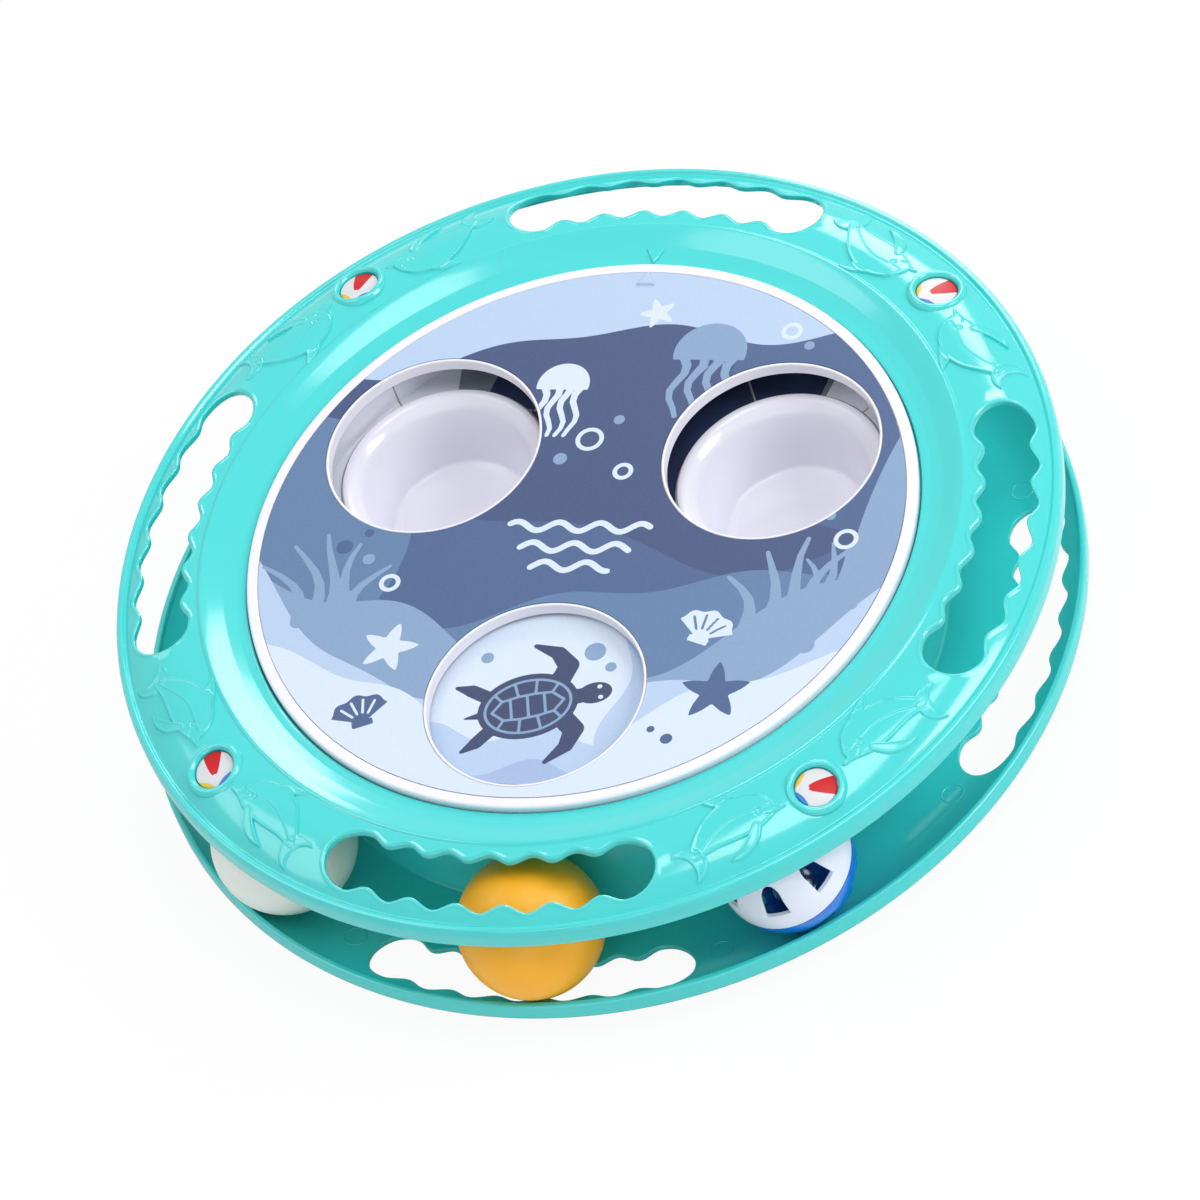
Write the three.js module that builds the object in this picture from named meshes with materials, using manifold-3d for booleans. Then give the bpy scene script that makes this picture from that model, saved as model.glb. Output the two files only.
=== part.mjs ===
// Rotating cat toy: a round ball track between two rims, with a turntable lid over a tray of bowls.
// Millimetres, +Z up. The origin is on the resting surface, on the turntable's axis.
// +Y points to the alignment arrow, and angles are counted from +X, seen from above.
import * as THREE from "three";
import { mergeVertices } from "three/addons/utils/BufferGeometryUtils.js";
import Module from "manifold-3d";

const wasm = await Module();
wasm.setup();

// Clearances
const SEAT_GAP = 0.3; // between two pieces that rest on each other
const RUN_GAP = 0.5; // round the lid, the hub and the medallions
const SCREW_GAP = 0.4; // round a screw's shank
const BOWL_GAP = 0.6; // round a bowl's rim as it is lifted through the lid
const DRUM_GAP = 1.2; // from a ball to the drum
const HEADROOM = 5.3; // from a ball to the track's ceiling
const BELL_GAP = 1; // from the bell to the cage ball's inside
const PELLET_GAP = 0.8; // from the pellet to the bell's inside
const TRACK_GAP = 3.9; // from a ball to the track's arched wall

// Balls
const BALL_D = 40;
const BALL_WALL = 0.9;
const CAGE_UNDERSIZE = 2.5; // how much smaller the cage ball is
const CAGE_WALL = 1.3;
const CAGE_WINDOWS = 7; // in each half
const CAGE_WINDOW_W = 5.9;
const CAGE_WINDOW_LOW = 6.1; // from the seam to a window's straight end
const CAGE_WINDOW_HIGH = 13.9; // from the seam to its round end
const BELL_D = 12.4;
const BELL_WALL = 0.7;
const PELLET_D = 4;
const ORANGE_ANGLE = 272.7;
const WHITE_ANGLE = 231.4;
const CAGE_ANGLE = 308.4;

// Turntable lid and its hub
const LID_R = 94;
const LID_T = 3;
const LID_BORDER = 3.2; // the bare margin outside the printed film
const FILM_T = 0.3;
const HOLE_R = 30;
const HOLE_LIP = 1.4;
const HOLE_EDGE = 7.7; // from a hole to the lid's edge
const CELL_ANGLES = [150, 30, 270];
const BUSH_WALL = 2.2;
const HUB_WALL = 2.2;
const POST_R = 5;
const POST_DROP = 3; // from the lid's underside to the post's top
const WASHER_R = 6.8;
const WASHER_T = 0.8;

// Housing
const FOOT_H = 2;
const FOOT_R = 7;
const FOOT_INSET = 3.7; // from a foot to where the floor starts to rise
const WALL = 2;
const RIM_WALL = 1.7;
const RIM_OPENING = 27; // between the upper and the lower rim
const RIM_LIP = 0.8; // the ridge above the valley beside it
const RIM_LIP_W = 2;
const RIM_VALLEY_W = 0.8;
const RIM_SHOULDER = 2.2; // height of the rim's rounded upper corner
const RING_STEP = 0.5; // the shoulder above the band
const GUTTER_DROP = 3.6; // the inner ring's fall from the shoulder to the lid
const SHOULDER_W = 12.4; // the inner ring's width
const RECESS_DEPTH = 2.2; // from the gutter's edge to the ledge under the lid
const LEDGE_W = 7.5;
const SKIRT_WALL = 1.8;
const DRUM_WALL = 1.8;

// Slots through the band, with scalloped edges
const SLOT_ANGLES = [0, 90, 180, 270];
const SLOT_W = 14.1;
const SLOT_SHIFT = 4.85; // from the track's middle out to the slots' middle
const SLOT_SCALLOPS = 6;
const SLOT_PITCH = 6.05; // degrees from one scallop to the next
const SLOT_CAP = 4.4; // degrees taken by each rounded end
const SCALLOP = 1.1;

// Medallions on the band, between the slots
const MEDAL_ANGLES = [45, 135, 225, 315];
const MEDAL_SHIFT = 5.8; // from the track's middle out to the medallions
const MEDAL_R = 5.6;
const MEDAL_T = 0.9;
const MEDAL_SINK = 0.7; // from the band's skin to the bezel's base
const BEZEL_W = 2;
const BEZEL_H = 0.8;

// Alignment arrow on the inner ring, pointing at the lid
const ARROW_ANGLE = 90;
const ARROW_INSET = 4.5; // from the gutter's edge
const ARROW_W = 5.4;
const ARROW_LINE = 1;
const ARROW_H = 0.5;

// Bowls and the tray that holds them
const BOWL_H = 22.6;
const BOWL_WALL = 1.9;
const BOWL_FOOT_R = 17.5;
const BOWL_LIP_T = 1.3;
const BOWL_LIP_OVERLAP = 2; // the lip's width resting on the deck
const DECK_DROP = 9.1; // from the ledge to the tray's deck
const DECK_T = 2;
const LABEL_T = 0.3;
const PLATFORM_MARGIN = 3.5; // the platform's width beyond the lid's hole
const PLATFORM_DROP = 1; // from the lid's underside to the picture
const PICTURE_INSET = 4; // from the ledge to the printed picture

// Screws
const SCREW_ANGLES = [0, 60, 120, 180, 240, 300];
const SCREW_INSET = 3.6; // from the skirt's inside to a screw's axis
const BOSS_R = 4.5;
const POST_STEP = 1; // how much wider a post is than the boss over it
const SHANK_R = 1.5;
const HEAD_R = 3.2;
const HEAD_H = 2;
const BOSS_WEB = 3.5; // the post's top, over the screw's head

// Smoothness
const LARGE_STEPS = 48;
const HOLE_STEPS = 24;
const BALL_STEPS = 18;
const SMALL_STEPS = 16;
const MEDAL_STEPS = 14;
const SCREW_STEPS = 8;

// Heights worked out from the sizes above
const FLOOR_Z = FOOT_H + WALL;
const ARCH_R = BALL_D / 2 + TRACK_GAP;
const CAGE_D = BALL_D - CAGE_UNDERSIZE;
const BALL_Z = FLOOR_Z + SEAT_GAP + BALL_D / 2;
const CEILING_Z = BALL_Z + BALL_D / 2 + HEADROOM;
const MID_Z = (FLOOR_Z + CEILING_Z) / 2;
const BAND_Z = CEILING_Z + WALL;
const SHOULDER_Z = BAND_Z + RING_STEP;
const GUTTER_Z = SHOULDER_Z - GUTTER_DROP;
const LEDGE_Z = GUTTER_Z - RECESS_DEPTH;
const LID_Z = LEDGE_Z + SEAT_GAP;
const FILM_Z = LID_Z + LID_T + SEAT_GAP;
const LID_TOP_Z = FILM_Z + FILM_T;
const DECK_Z = LEDGE_Z - DECK_DROP;
const DECK_UNDER_Z = DECK_Z - DECK_T;
const POST_TOP_Z = LID_Z - POST_DROP;
const PICTURE_Z = LID_Z - PLATFORM_DROP - LABEL_T;
const PLATFORM_Z = PICTURE_Z - SEAT_GAP;

// Radii worked out from the sizes above
const RECESS_R = LID_R + RUN_GAP;
const SHOULDER_R = RECESS_R + SHOULDER_W;
const DRUM_R = RECESS_R - WALL;
const TRACK_R = DRUM_R + DRUM_GAP + BALL_D / 2;
const rimReach = (radius, centreZ) =>
  Math.sqrt((radius + SEAT_GAP) ** 2 - (centreZ - (MID_Z - RIM_OPENING / 2)) ** 2);
const RIM_IN_R = TRACK_R + rimReach(BALL_D / 2, BALL_Z);
const RIM_R = RIM_IN_R + RIM_WALL;
const DRUM_IN_R = DRUM_R - DRUM_WALL;
const SKIRT_R = DRUM_IN_R - SEAT_GAP;
const SKIRT_IN_R = SKIRT_R - SKIRT_WALL;
const LEDGE_IN_R = RECESS_R - LEDGE_W;
const PICTURE_REACH = LEDGE_IN_R - PICTURE_INSET;
const SCREW_RING_R = SKIRT_IN_R - SCREW_INSET;
const ARROW_R = RECESS_R + ARROW_INSET;
const SLOT_MID_R = TRACK_R + SLOT_SHIFT;
const MEDAL_RING_R = TRACK_R + MEDAL_SHIFT;
const FOOT_RING_R = TRACK_R - FOOT_R - FOOT_INSET;
const CAGE_Z = FLOOR_Z + SEAT_GAP + CAGE_D / 2;
const CAGE_TRACK_R = RIM_IN_R - rimReach(CAGE_D / 2, CAGE_Z);
const BUSH_IN_R = POST_R + SEAT_GAP;
const BUSH_R = BUSH_IN_R + BUSH_WALL;
const HUB_IN_R = BUSH_R + RUN_GAP;
const CELL_R = LID_R - HOLE_EDGE - HOLE_R; // to the centre of each hole and each bowl
const PLATFORM_R = HOLE_R + PLATFORM_MARGIN;
const BOWL_R = HOLE_R - BOWL_GAP;
const BOWL_HOLE_R = BOWL_R - BOWL_LIP_OVERLAP;
const SCREW_HOLE_R = SHANK_R + SCREW_GAP;

const material = (color, roughness, metalness = 0) =>
  new THREE.MeshStandardMaterial({ color, roughness, metalness });
const aqua = material(0x4fdcd7, 0.22);
const lidWhite = material(0xe8e8f2, 0.25);
const print = material(0x47587f, 0.45);
const palePrint = material(0xb9cbea, 0.45);
const glaze = material(0xe6e6ec, 0.15);
const trayGrey = material(0xcfd6e2, 0.4);
const orange = material(0xf0aa32, 0.4);
const ballWhite = material(0xdfe8e0, 0.5);
const cageWhite = material(0xe4eaf8, 0.3);
const cageBlue = material(0x1e78d2, 0.25);
const steel = material(0xb8bcc4, 0.25, 1);
const rubber = material(0x6f7a80, 0.8);
const nylon = material(0xd9dcd4, 0.5);
const medalWhite = material(0xf4f2f0, 0.3);

const rad = THREE.MathUtils.degToRad;

/** Place at a radius and an angle, in degrees, round the main axis. */
const polar = (radius, angle, z = 0) =>
  new THREE.Vector3(radius * Math.cos(rad(angle)), radius * Math.sin(rad(angle)), z);

/** A geometry with shared corners, and without triangles that have no area. */
function welded(geometry) {
  geometry.deleteAttribute("normal");
  geometry.deleteAttribute("uv");
  const merged = mergeVertices(geometry, 1e-4);
  const index = merged.getIndex().array;
  const kept = [];
  for (let i = 0; i < index.length; i += 3) {
    const [a, b, c] = [index[i], index[i + 1], index[i + 2]];
    if (a !== b && b !== c && c !== a) kept.push(a, b, c);
  }
  merged.setIndex(kept);
  return merged;
}

/** A geometry as a solid that can be joined and cut. */
function solid(geometry) {
  const closed = welded(geometry);
  return new wasm.Manifold(
    new wasm.Mesh({
      numProp: 3,
      vertProperties: new Float32Array(closed.getAttribute("position").array),
      triVerts: new Uint32Array(closed.getIndex().array),
    }),
  );
}

/** A joined or cut solid as a geometry. */
function geometryOf(body) {
  const mesh = body.getMesh();
  const geometry = new THREE.BufferGeometry();
  geometry.setAttribute("position", new THREE.BufferAttribute(mesh.vertProperties, 3));
  geometry.setIndex(new THREE.BufferAttribute(mesh.triVerts, 1));
  return geometry;
}

const joined = (bodies) => bodies.reduce((sum, body) => sum.add(body));
const cut = (body, cutters) => body.subtract(joined(cutters));

/** The closed outline [r, z] turned round the Z axis. */
function turned(outline, steps) {
  const loop = outline.map(([r, z]) => new THREE.Vector2(r, z));
  if (THREE.ShapeUtils.area(loop) < 0) loop.reverse();
  loop.push(loop[0].clone());
  return new THREE.LatheGeometry(loop, steps).rotateX(Math.PI / 2);
}

/** Points [r, z] on an arc, angles in degrees from the outward direction, ends included. */
function arc(centreR, centreZ, radius, from, to, steps) {
  return Array.from({ length: steps + 1 }, (_, i) => {
    const angle = rad(from + ((to - from) * i) / steps);
    return [centreR + radius * Math.cos(angle), centreZ + radius * Math.sin(angle)];
  });
}

/** An upright cylinder between two heights. */
function rod(radius, bottom, top, steps, centre = new THREE.Vector3()) {
  const outline = [[0, bottom], [radius, bottom], [radius, top], [0, top]];
  return turned(outline, steps).translate(centre.x, centre.y, 0);
}

/** An upright tube between two heights. */
function tube(inner, outer, bottom, top, steps, centre = new THREE.Vector3()) {
  const outline = [[inner, bottom], [outer, bottom], [outer, top], [inner, top]];
  return turned(outline, steps).translate(centre.x, centre.y, 0);
}

/** The rim and the arched band from the rim's inner edge to the flat band, seen as the upper one. */
function bandOutline() {
  const rimBottom = MID_Z + RIM_OPENING / 2;
  const archZ = CEILING_Z - ARCH_R;
  const valleyR = RIM_R - RIM_LIP_W - RIM_VALLEY_W;
  const angleAt = (r, radius) => THREE.MathUtils.radToDeg(Math.acos((r - TRACK_R) / radius));
  const wall = arc(TRACK_R, archZ, ARCH_R, 90, angleAt(RIM_IN_R, ARCH_R), 4);
  const skin = arc(TRACK_R, archZ, ARCH_R + WALL, angleAt(valleyR, ARCH_R + WALL), 90, 4);
  const valleyZ = skin[0][1];
  const ridgeZ = valleyZ + RIM_LIP;
  const outer = [
    [RIM_IN_R, rimBottom],
    [RIM_R - RIM_LIP, rimBottom],
    [RIM_R, rimBottom + RIM_LIP],
    [RIM_R, ridgeZ - RIM_SHOULDER],
    [RIM_R - RIM_LIP, ridgeZ - RIM_LIP / 2],
    [RIM_R - RIM_LIP_W, ridgeZ],
  ];
  return [...wall, ...outer, ...skin];
}

const mirrored = (outline) => outline.map(([r, z]) => [r, 2 * MID_Z - z]);

/** The outline of a slot, centred on +X, as a prism from bottom to top. */
function slotCutter(angle, bottom, top) {
  const half = (SLOT_SCALLOPS * SLOT_PITCH) / 2;
  const perScallop = 4;
  const count = SLOT_SCALLOPS * perScallop;
  const points = [];
  for (let i = 0; i <= count; i += 1) {
    const wave = Math.cos((2 * Math.PI * i) / perScallop);
    points.push(polar(SLOT_MID_R - SLOT_W / 2 - SCALLOP * wave, -half + (i * SLOT_PITCH) / perScallop));
  }
  const reach = SLOT_W / 2 + SCALLOP;
  const cap = (side) =>
    [-60, -30, 0, 30, 60].map((turn) =>
      polar(SLOT_MID_R + reach * Math.sin(rad(turn)), side * (half + SLOT_CAP * Math.cos(rad(turn)))));
  points.push(...cap(1));
  for (let i = 0; i <= count; i += 1) {
    const wave = Math.cos((2 * Math.PI * i) / perScallop);
    points.push(polar(SLOT_MID_R + SLOT_W / 2 + SCALLOP * wave, half - (i * SLOT_PITCH) / perScallop));
  }
  points.push(...cap(-1).reverse());
  const shape = new THREE.Shape(points.map(({ x, y }) => new THREE.Vector2(x, y)));
  const geometry = new THREE.ExtrudeGeometry(shape, { depth: top - bottom, bevelEnabled: false });
  return solid(geometry.translate(0, 0, bottom).rotateZ(rad(angle)));
}

/** Height of the arched band's skin at a radius. */
const bandHeight = (r) =>
  CEILING_Z - ARCH_R + Math.sqrt((ARCH_R + WALL) ** 2 - Math.max(0, r - TRACK_R) ** 2);
const MEDAL_TILT = Math.asin((MEDAL_RING_R - TRACK_R) / (ARCH_R + WALL));

/** Turns a shape built on the Z axis onto its place on the band, square to the skin there. */
function ontoBand(geometry, angle) {
  return geometry
    .rotateY(MEDAL_TILT)
    .translate(MEDAL_RING_R, 0, bandHeight(MEDAL_RING_R) - MEDAL_SINK)
    .rotateZ(rad(angle));
}

/** The raised bezel round a medallion, with a foot that reaches into the band's wall. */
function bezel(angle) {
  const inner = MEDAL_R + RUN_GAP;
  const outer = inner + BEZEL_W;
  const outline = [
    [inner, -WALL / 2],
    [outer, -WALL / 2],
    [outer, BEZEL_H / 2],
    [(inner + outer) / 2, BEZEL_H],
    [inner, BEZEL_H / 2],
  ];
  return solid(ontoBand(turned(outline, MEDAL_STEPS), angle));
}

const medalBottom = BEZEL_H / 2 - MEDAL_T;
const pocket = (angle) =>
  solid(ontoBand(rod(MEDAL_R + RUN_GAP, medalBottom - SEAT_GAP, WALL + MEDAL_SINK, MEDAL_STEPS), angle));

/** The raised outline of a triangle on the inner ring, with one corner towards the axis. */
function arrowMark() {
  const corners = (size) => [-90, 30, 150].map((turn) => new THREE.Vector2().copy(polar(size, turn)));
  const shape = new THREE.Shape(corners(ARROW_W / Math.sqrt(3)));
  shape.holes.push(new THREE.Path(corners(ARROW_W / Math.sqrt(3) - ARROW_LINE * 2)));
  const bottom = GUTTER_Z - WALL / 2;
  const middle = GUTTER_Z + (GUTTER_DROP * (ARROW_R - RECESS_R)) / SHOULDER_W;
  const depth = middle + ARROW_H - bottom;
  const geometry = new THREE.ExtrudeGeometry(shape, { depth, bevelEnabled: false });
  return solid(geometry.translate(0, ARROW_R, bottom).rotateZ(rad(ARROW_ANGLE - 90)));
}

function upperRing() {
  const ledgeUnder = LEDGE_Z - WALL;
  const outline = [
    [LEDGE_IN_R, ledgeUnder],
    [SKIRT_IN_R, ledgeUnder],
    [SKIRT_IN_R, DECK_Z + SEAT_GAP],
    [SKIRT_R, DECK_Z + SEAT_GAP],
    [SKIRT_R, ledgeUnder],
    [RECESS_R + WALL, ledgeUnder],
    [RECESS_R + WALL, GUTTER_Z - WALL],
    [SHOULDER_R, CEILING_Z],
    ...bandOutline(),
    [SHOULDER_R + RING_STEP, BAND_Z],
    [SHOULDER_R, SHOULDER_Z],
    [SHOULDER_R - RING_STEP, SHOULDER_Z],
    [(RECESS_R + SHOULDER_R) / 2, (GUTTER_Z + SHOULDER_Z) / 2 - RING_STEP],
    [RECESS_R, GUTTER_Z],
    [RECESS_R, LEDGE_Z],
    [LEDGE_IN_R, LEDGE_Z],
  ];
  const bosses = SCREW_ANGLES.map((angle) =>
    solid(rod(BOSS_R, DECK_Z + SEAT_GAP, ledgeUnder + WALL / 2, SCREW_STEPS, polar(SCREW_RING_R, angle))));
  const holes = SCREW_ANGLES.map((angle) =>
    solid(rod(SCREW_HOLE_R, DECK_Z - WALL, ledgeUnder, SCREW_STEPS, polar(SCREW_RING_R, angle))));
  const slots = SLOT_ANGLES.map((angle) => slotCutter(angle, MID_Z, BAND_Z + WALL));
  const body = cut(solid(turned(outline, LARGE_STEPS)), MEDAL_ANGLES.map(pocket));
  return cut(joined([body, ...MEDAL_ANGLES.map(bezel), ...bosses, arrowMark()]), [...slots, ...holes]);
}

const POST_TOP = DECK_UNDER_Z - SEAT_GAP;
const HEAD_SEAT_Z = POST_TOP - BOSS_WEB;

function lowerDisc() {
  const drumTop = LEDGE_Z - WALL - SEAT_GAP;
  const outline = [
    [0, FOOT_H],
    ...mirrored(bandOutline()).reverse(),
    [DRUM_R, FLOOR_Z],
    [DRUM_R, drumTop],
    [DRUM_IN_R, drumTop],
    [DRUM_IN_R, FLOOR_Z],
    [0, FLOOR_Z],
  ];
  const places = SCREW_ANGLES.map((angle) => polar(SCREW_RING_R, angle));
  const posts = places.map((place) =>
    solid(rod(BOSS_R + POST_STEP, FLOOR_Z - WALL / 2, POST_TOP, SCREW_STEPS, place)));
  const wells = places.map((place) => solid(rod(HEAD_R + SCREW_GAP, 0, HEAD_SEAT_Z, SCREW_STEPS, place)));
  const holes = places.map((place) => solid(rod(SCREW_HOLE_R, FLOOR_Z, DECK_Z, SCREW_STEPS, place)));
  const slots = SLOT_ANGLES.map((angle) => slotCutter(angle, 0, MID_Z));
  const body = joined([solid(turned(outline, LARGE_STEPS)), ...posts]);
  return cut(body, [...wells, ...holes, ...slots]);
}

/** A screw with its head down, from the head's underside upward. */
function housingScrew() {
  const shankTop = LEDGE_Z - WALL - SEAT_GAP - HEAD_SEAT_Z;
  return turned(
    [
      [0, -HEAD_H - SEAT_GAP],
      [HEAD_R * 0.7, -HEAD_H - SEAT_GAP],
      [HEAD_R, -HEAD_H / 2],
      [HEAD_R, -SEAT_GAP],
      [SHANK_R, -SEAT_GAP],
      [SHANK_R, shankTop - SHANK_R],
      [0, shankTop],
    ],
    SCREW_STEPS,
  );
}

function foot() {
  const top = FOOT_H - SEAT_GAP;
  return turned([[0, 0], [FOOT_R - top / 2, 0], [FOOT_R, top / 2], [FOOT_R, top], [0, top]], SMALL_STEPS);
}

/** The platform that stands in the front cell, clear of the ledge round it. */
function platformSolid(radius, reach, bottom, top) {
  const front = polar(CELL_R, CELL_ANGLES[2]);
  const block = solid(rod(radius, bottom, top, HOLE_STEPS, front));
  return block.intersect(solid(rod(reach, bottom, top, LARGE_STEPS)));
}

function bowlTray() {
  const outline = [
    [0, DECK_UNDER_Z], [SKIRT_R, DECK_UNDER_Z], [SKIRT_R, DECK_Z],
    [POST_R, DECK_Z], [POST_R, POST_TOP_Z], [0, POST_TOP_Z],
  ];
  const reach = LEDGE_IN_R - RUN_GAP;
  const platform = platformSolid(PLATFORM_R, reach, DECK_Z - WALL / 2, PLATFORM_Z);
  const hollow = platformSolid(PLATFORM_R - WALL, reach - WALL, DECK_UNDER_Z, PLATFORM_Z - WALL);
  const bowlHoles = CELL_ANGLES.slice(0, 2).map((angle) =>
    solid(rod(BOWL_HOLE_R, DECK_UNDER_Z - WALL, DECK_Z + WALL, HOLE_STEPS, polar(CELL_R, angle))));
  const screwHoles = SCREW_ANGLES.map((angle) =>
    solid(rod(SCREW_HOLE_R, DECK_UNDER_Z - WALL, DECK_Z + WALL, SCREW_STEPS, polar(SCREW_RING_R, angle))));
  const hubHole = solid(rod(SCREW_HOLE_R, DECK_Z, POST_TOP_Z + WALL, SCREW_STEPS));
  const body = joined([solid(turned(outline, LARGE_STEPS)), platform]);
  return cut(body, [hollow, ...bowlHoles, ...screwHoles, hubHole]);
}

/** The printed sheet on the deck, cut out round all that passes through it. */
function trayLabel() {
  const bottom = DECK_Z + SEAT_GAP;
  const top = bottom + LABEL_T;
  const hubR = HUB_IN_R + HUB_WALL;
  const sheet = solid(tube(hubR + RUN_GAP, SKIRT_IN_R - RUN_GAP, bottom, top, LARGE_STEPS));
  const round = (radius, place, steps) =>
    solid(rod(radius + RUN_GAP, bottom - WALL, top + WALL, steps, place));
  const bowls = CELL_ANGLES.slice(0, 2).map((angle) => round(BOWL_R, polar(CELL_R, angle), HOLE_STEPS));
  const bosses = SCREW_ANGLES.map((angle) => round(BOSS_R, polar(SCREW_RING_R, angle), SCREW_STEPS));
  return cut(sheet, [...bowls, ...bosses, round(PLATFORM_R, polar(CELL_R, CELL_ANGLES[2]), HOLE_STEPS)]);
}

const pictureLabel = () =>
  platformSolid(PLATFORM_R - RUN_GAP, PICTURE_REACH, PICTURE_Z, PICTURE_Z + LABEL_T);

/** A bowl whose lip rests on the deck. Heights are counted from the deck. */
function bowl() {
  const lipBottom = SEAT_GAP;
  const lipTop = lipBottom + BOWL_LIP_T;
  const bottom = lipTop - BOWL_H;
  const neck = BOWL_HOLE_R - SEAT_GAP;
  const side = BOWL_FOOT_R + (neck - BOWL_FOOT_R) * 0.55;
  const outline = [
    [0, bottom],
    [BOWL_FOOT_R, bottom],
    [side, bottom + BOWL_H * 0.16],
    [neck - BOWL_WALL * 0.8, bottom + BOWL_H * 0.5],
    [neck, -DECK_T],
    [neck, lipBottom],
    [BOWL_R, lipBottom],
    [BOWL_R, lipTop - BOWL_LIP_T * 0.45],
    [BOWL_R - BOWL_LIP_T * 0.7, lipTop],
    [neck, lipTop],
    [neck - BOWL_WALL, lipBottom],
    [neck - BOWL_WALL, -DECK_T],
    [neck - BOWL_WALL * 1.8, bottom + BOWL_H * 0.5],
    [side - BOWL_WALL * 1.3, bottom + BOWL_H * 0.23],
    [BOWL_FOOT_R - BOWL_WALL, bottom + BOWL_WALL],
    [0, bottom + BOWL_WALL],
  ];
  return turned(outline, HOLE_STEPS);
}

function lidDisc() {
  const plateTop = LID_Z + LID_T;
  const hubBottom = DECK_Z + SEAT_GAP + LABEL_T + RUN_GAP;
  const outline = [
    [0, LID_Z],
    [LID_R - LID_T / 4, LID_Z],
    [LID_R, LID_Z + LID_T / 4],
    [LID_R, LID_TOP_Z - LID_T / 4],
    [LID_R - LID_T / 4, LID_TOP_Z],
    [LID_R - LID_BORDER, LID_TOP_Z],
    [LID_R - LID_BORDER, plateTop],
    [0, plateTop],
  ];
  const places = CELL_ANGLES.map((angle) => polar(CELL_R, angle));
  const lips = places.map((place) =>
    solid(rod(HOLE_R + HOLE_LIP, LID_Z + LID_T / 2, LID_TOP_Z, HOLE_STEPS, place)));
  const holes = places.map((place) =>
    solid(rod(HOLE_R, LID_Z - WALL, LID_TOP_Z + WALL, HOLE_STEPS, place)));
  const hub = solid(tube(HUB_IN_R, HUB_IN_R + HUB_WALL, hubBottom, LID_Z + LID_T / 2, SMALL_STEPS));
  return cut(joined([solid(turned(outline, LARGE_STEPS)), ...lips, hub]), holes);
}

function lidFilm() {
  const sheet = solid(rod(LID_R - LID_BORDER - SEAT_GAP, FILM_Z, LID_TOP_Z, LARGE_STEPS));
  const radius = HOLE_R + HOLE_LIP + SEAT_GAP;
  const holes = CELL_ANGLES.map((angle) =>
    solid(rod(radius, FILM_Z - WALL, LID_TOP_Z + WALL, HOLE_STEPS, polar(CELL_R, angle))));
  return cut(sheet, holes);
}

const hubBush = () => tube(BUSH_IN_R, BUSH_R, DECK_Z + SEAT_GAP, POST_TOP_Z, SMALL_STEPS);
const WASHER_Z = POST_TOP_Z + SEAT_GAP;
const hubWasher = () => tube(SCREW_HOLE_R, WASHER_R, WASHER_Z, WASHER_Z + WASHER_T, SMALL_STEPS);

/** The screw that holds the bush on its post, head up. */
function hubScrew() {
  const headBottom = WASHER_Z + WASHER_T + SEAT_GAP;
  const headTop = Math.min(headBottom + HEAD_H, LID_Z - SEAT_GAP);
  const outline = [
    [0, DECK_Z + SEAT_GAP], [SHANK_R, DECK_Z + SHANK_R], [SHANK_R, headBottom],
    [HEAD_R, headBottom], [HEAD_R * 0.7, headTop], [0, headTop],
  ];
  return turned(outline, SCREW_STEPS);
}

/** A printed disc with a low dome, in its bezel's pocket. */
function medallion(angle) {
  const top = medalBottom + MEDAL_T;
  const edge = medalBottom + MEDAL_T / 2;
  const outline = [[0, medalBottom], [MEDAL_R, medalBottom], [MEDAL_R, edge], [MEDAL_R * 0.6, top], [0, top]];
  return ontoBand(turned(outline, MEDAL_STEPS), angle);
}

/** Half a hollow ball with its pole on +Z and half the seam's gap under it. */
function halfShell(diameter, wall, steps, rings) {
  const seam = SEAT_GAP / 2;
  const outer = diameter / 2;
  const inner = outer - wall;
  const from = (radius) => THREE.MathUtils.radToDeg(Math.asin(seam / radius));
  const outside = arc(0, 0, outer, from(outer), 90, rings);
  const inside = arc(0, 0, inner, 90, from(inner), rings);
  outside[rings][0] = 0;
  inside[0][0] = 0;
  return turned([...outside, ...inside], steps);
}

/** A window of the cage ball: straight near the seam, round towards the pole. */
function cageWindow(turn) {
  const half = CAGE_WINDOW_W / 2;
  const shape = new THREE.Shape();
  shape.moveTo(-half, CAGE_WINDOW_LOW);
  shape.lineTo(half, CAGE_WINDOW_LOW);
  shape.lineTo(half, CAGE_WINDOW_HIGH - half);
  shape.absarc(0, CAGE_WINDOW_HIGH - half, half, 0, Math.PI, false);
  const geometry = new THREE.ExtrudeGeometry(shape, { depth: CAGE_D, bevelEnabled: false, curveSegments: 4 });
  return solid(geometry.rotateX(Math.PI / 2).rotateZ(turn));
}

function cageHalf() {
  const shell = solid(halfShell(CAGE_D, CAGE_WALL, CAGE_WINDOWS * 2, 4));
  const turns = Array.from({ length: CAGE_WINDOWS }, (_, i) => (i * 2 * Math.PI) / CAGE_WINDOWS);
  return geometryOf(cut(shell, turns.map(cageWindow)));
}

const toy = new THREE.Group();

/** Adds a named piece, placed by a group or by its own position and rotation. */
function add(name, geometry, finish, parent = toy) {
  const mesh = new THREE.Mesh(geometry.isBufferGeometry ? welded(geometry) : geometryOf(geometry), finish);
  mesh.name = name;
  parent.add(mesh);
  return mesh;
}

add("lower_disc", lowerDisc(), aqua);
add("upper_ring", upperRing(), aqua);
add("bowl_tray", bowlTray(), trayGrey);
add("tray_label", trayLabel(), palePrint);
add("picture_label", pictureLabel(), palePrint);
["bowl_left", "bowl_right"].forEach((name, i) => {
  add(name, bowl(), glaze).position.copy(polar(CELL_R, CELL_ANGLES[i], DECK_Z));
});

add("hub_bush", hubBush(), nylon);
add("hub_washer", hubWasher(), steel);
add("hub_screw", hubScrew(), steel);
add("lid_disc", lidDisc(), lidWhite);
add("lid_film", lidFilm(), print);

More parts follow.
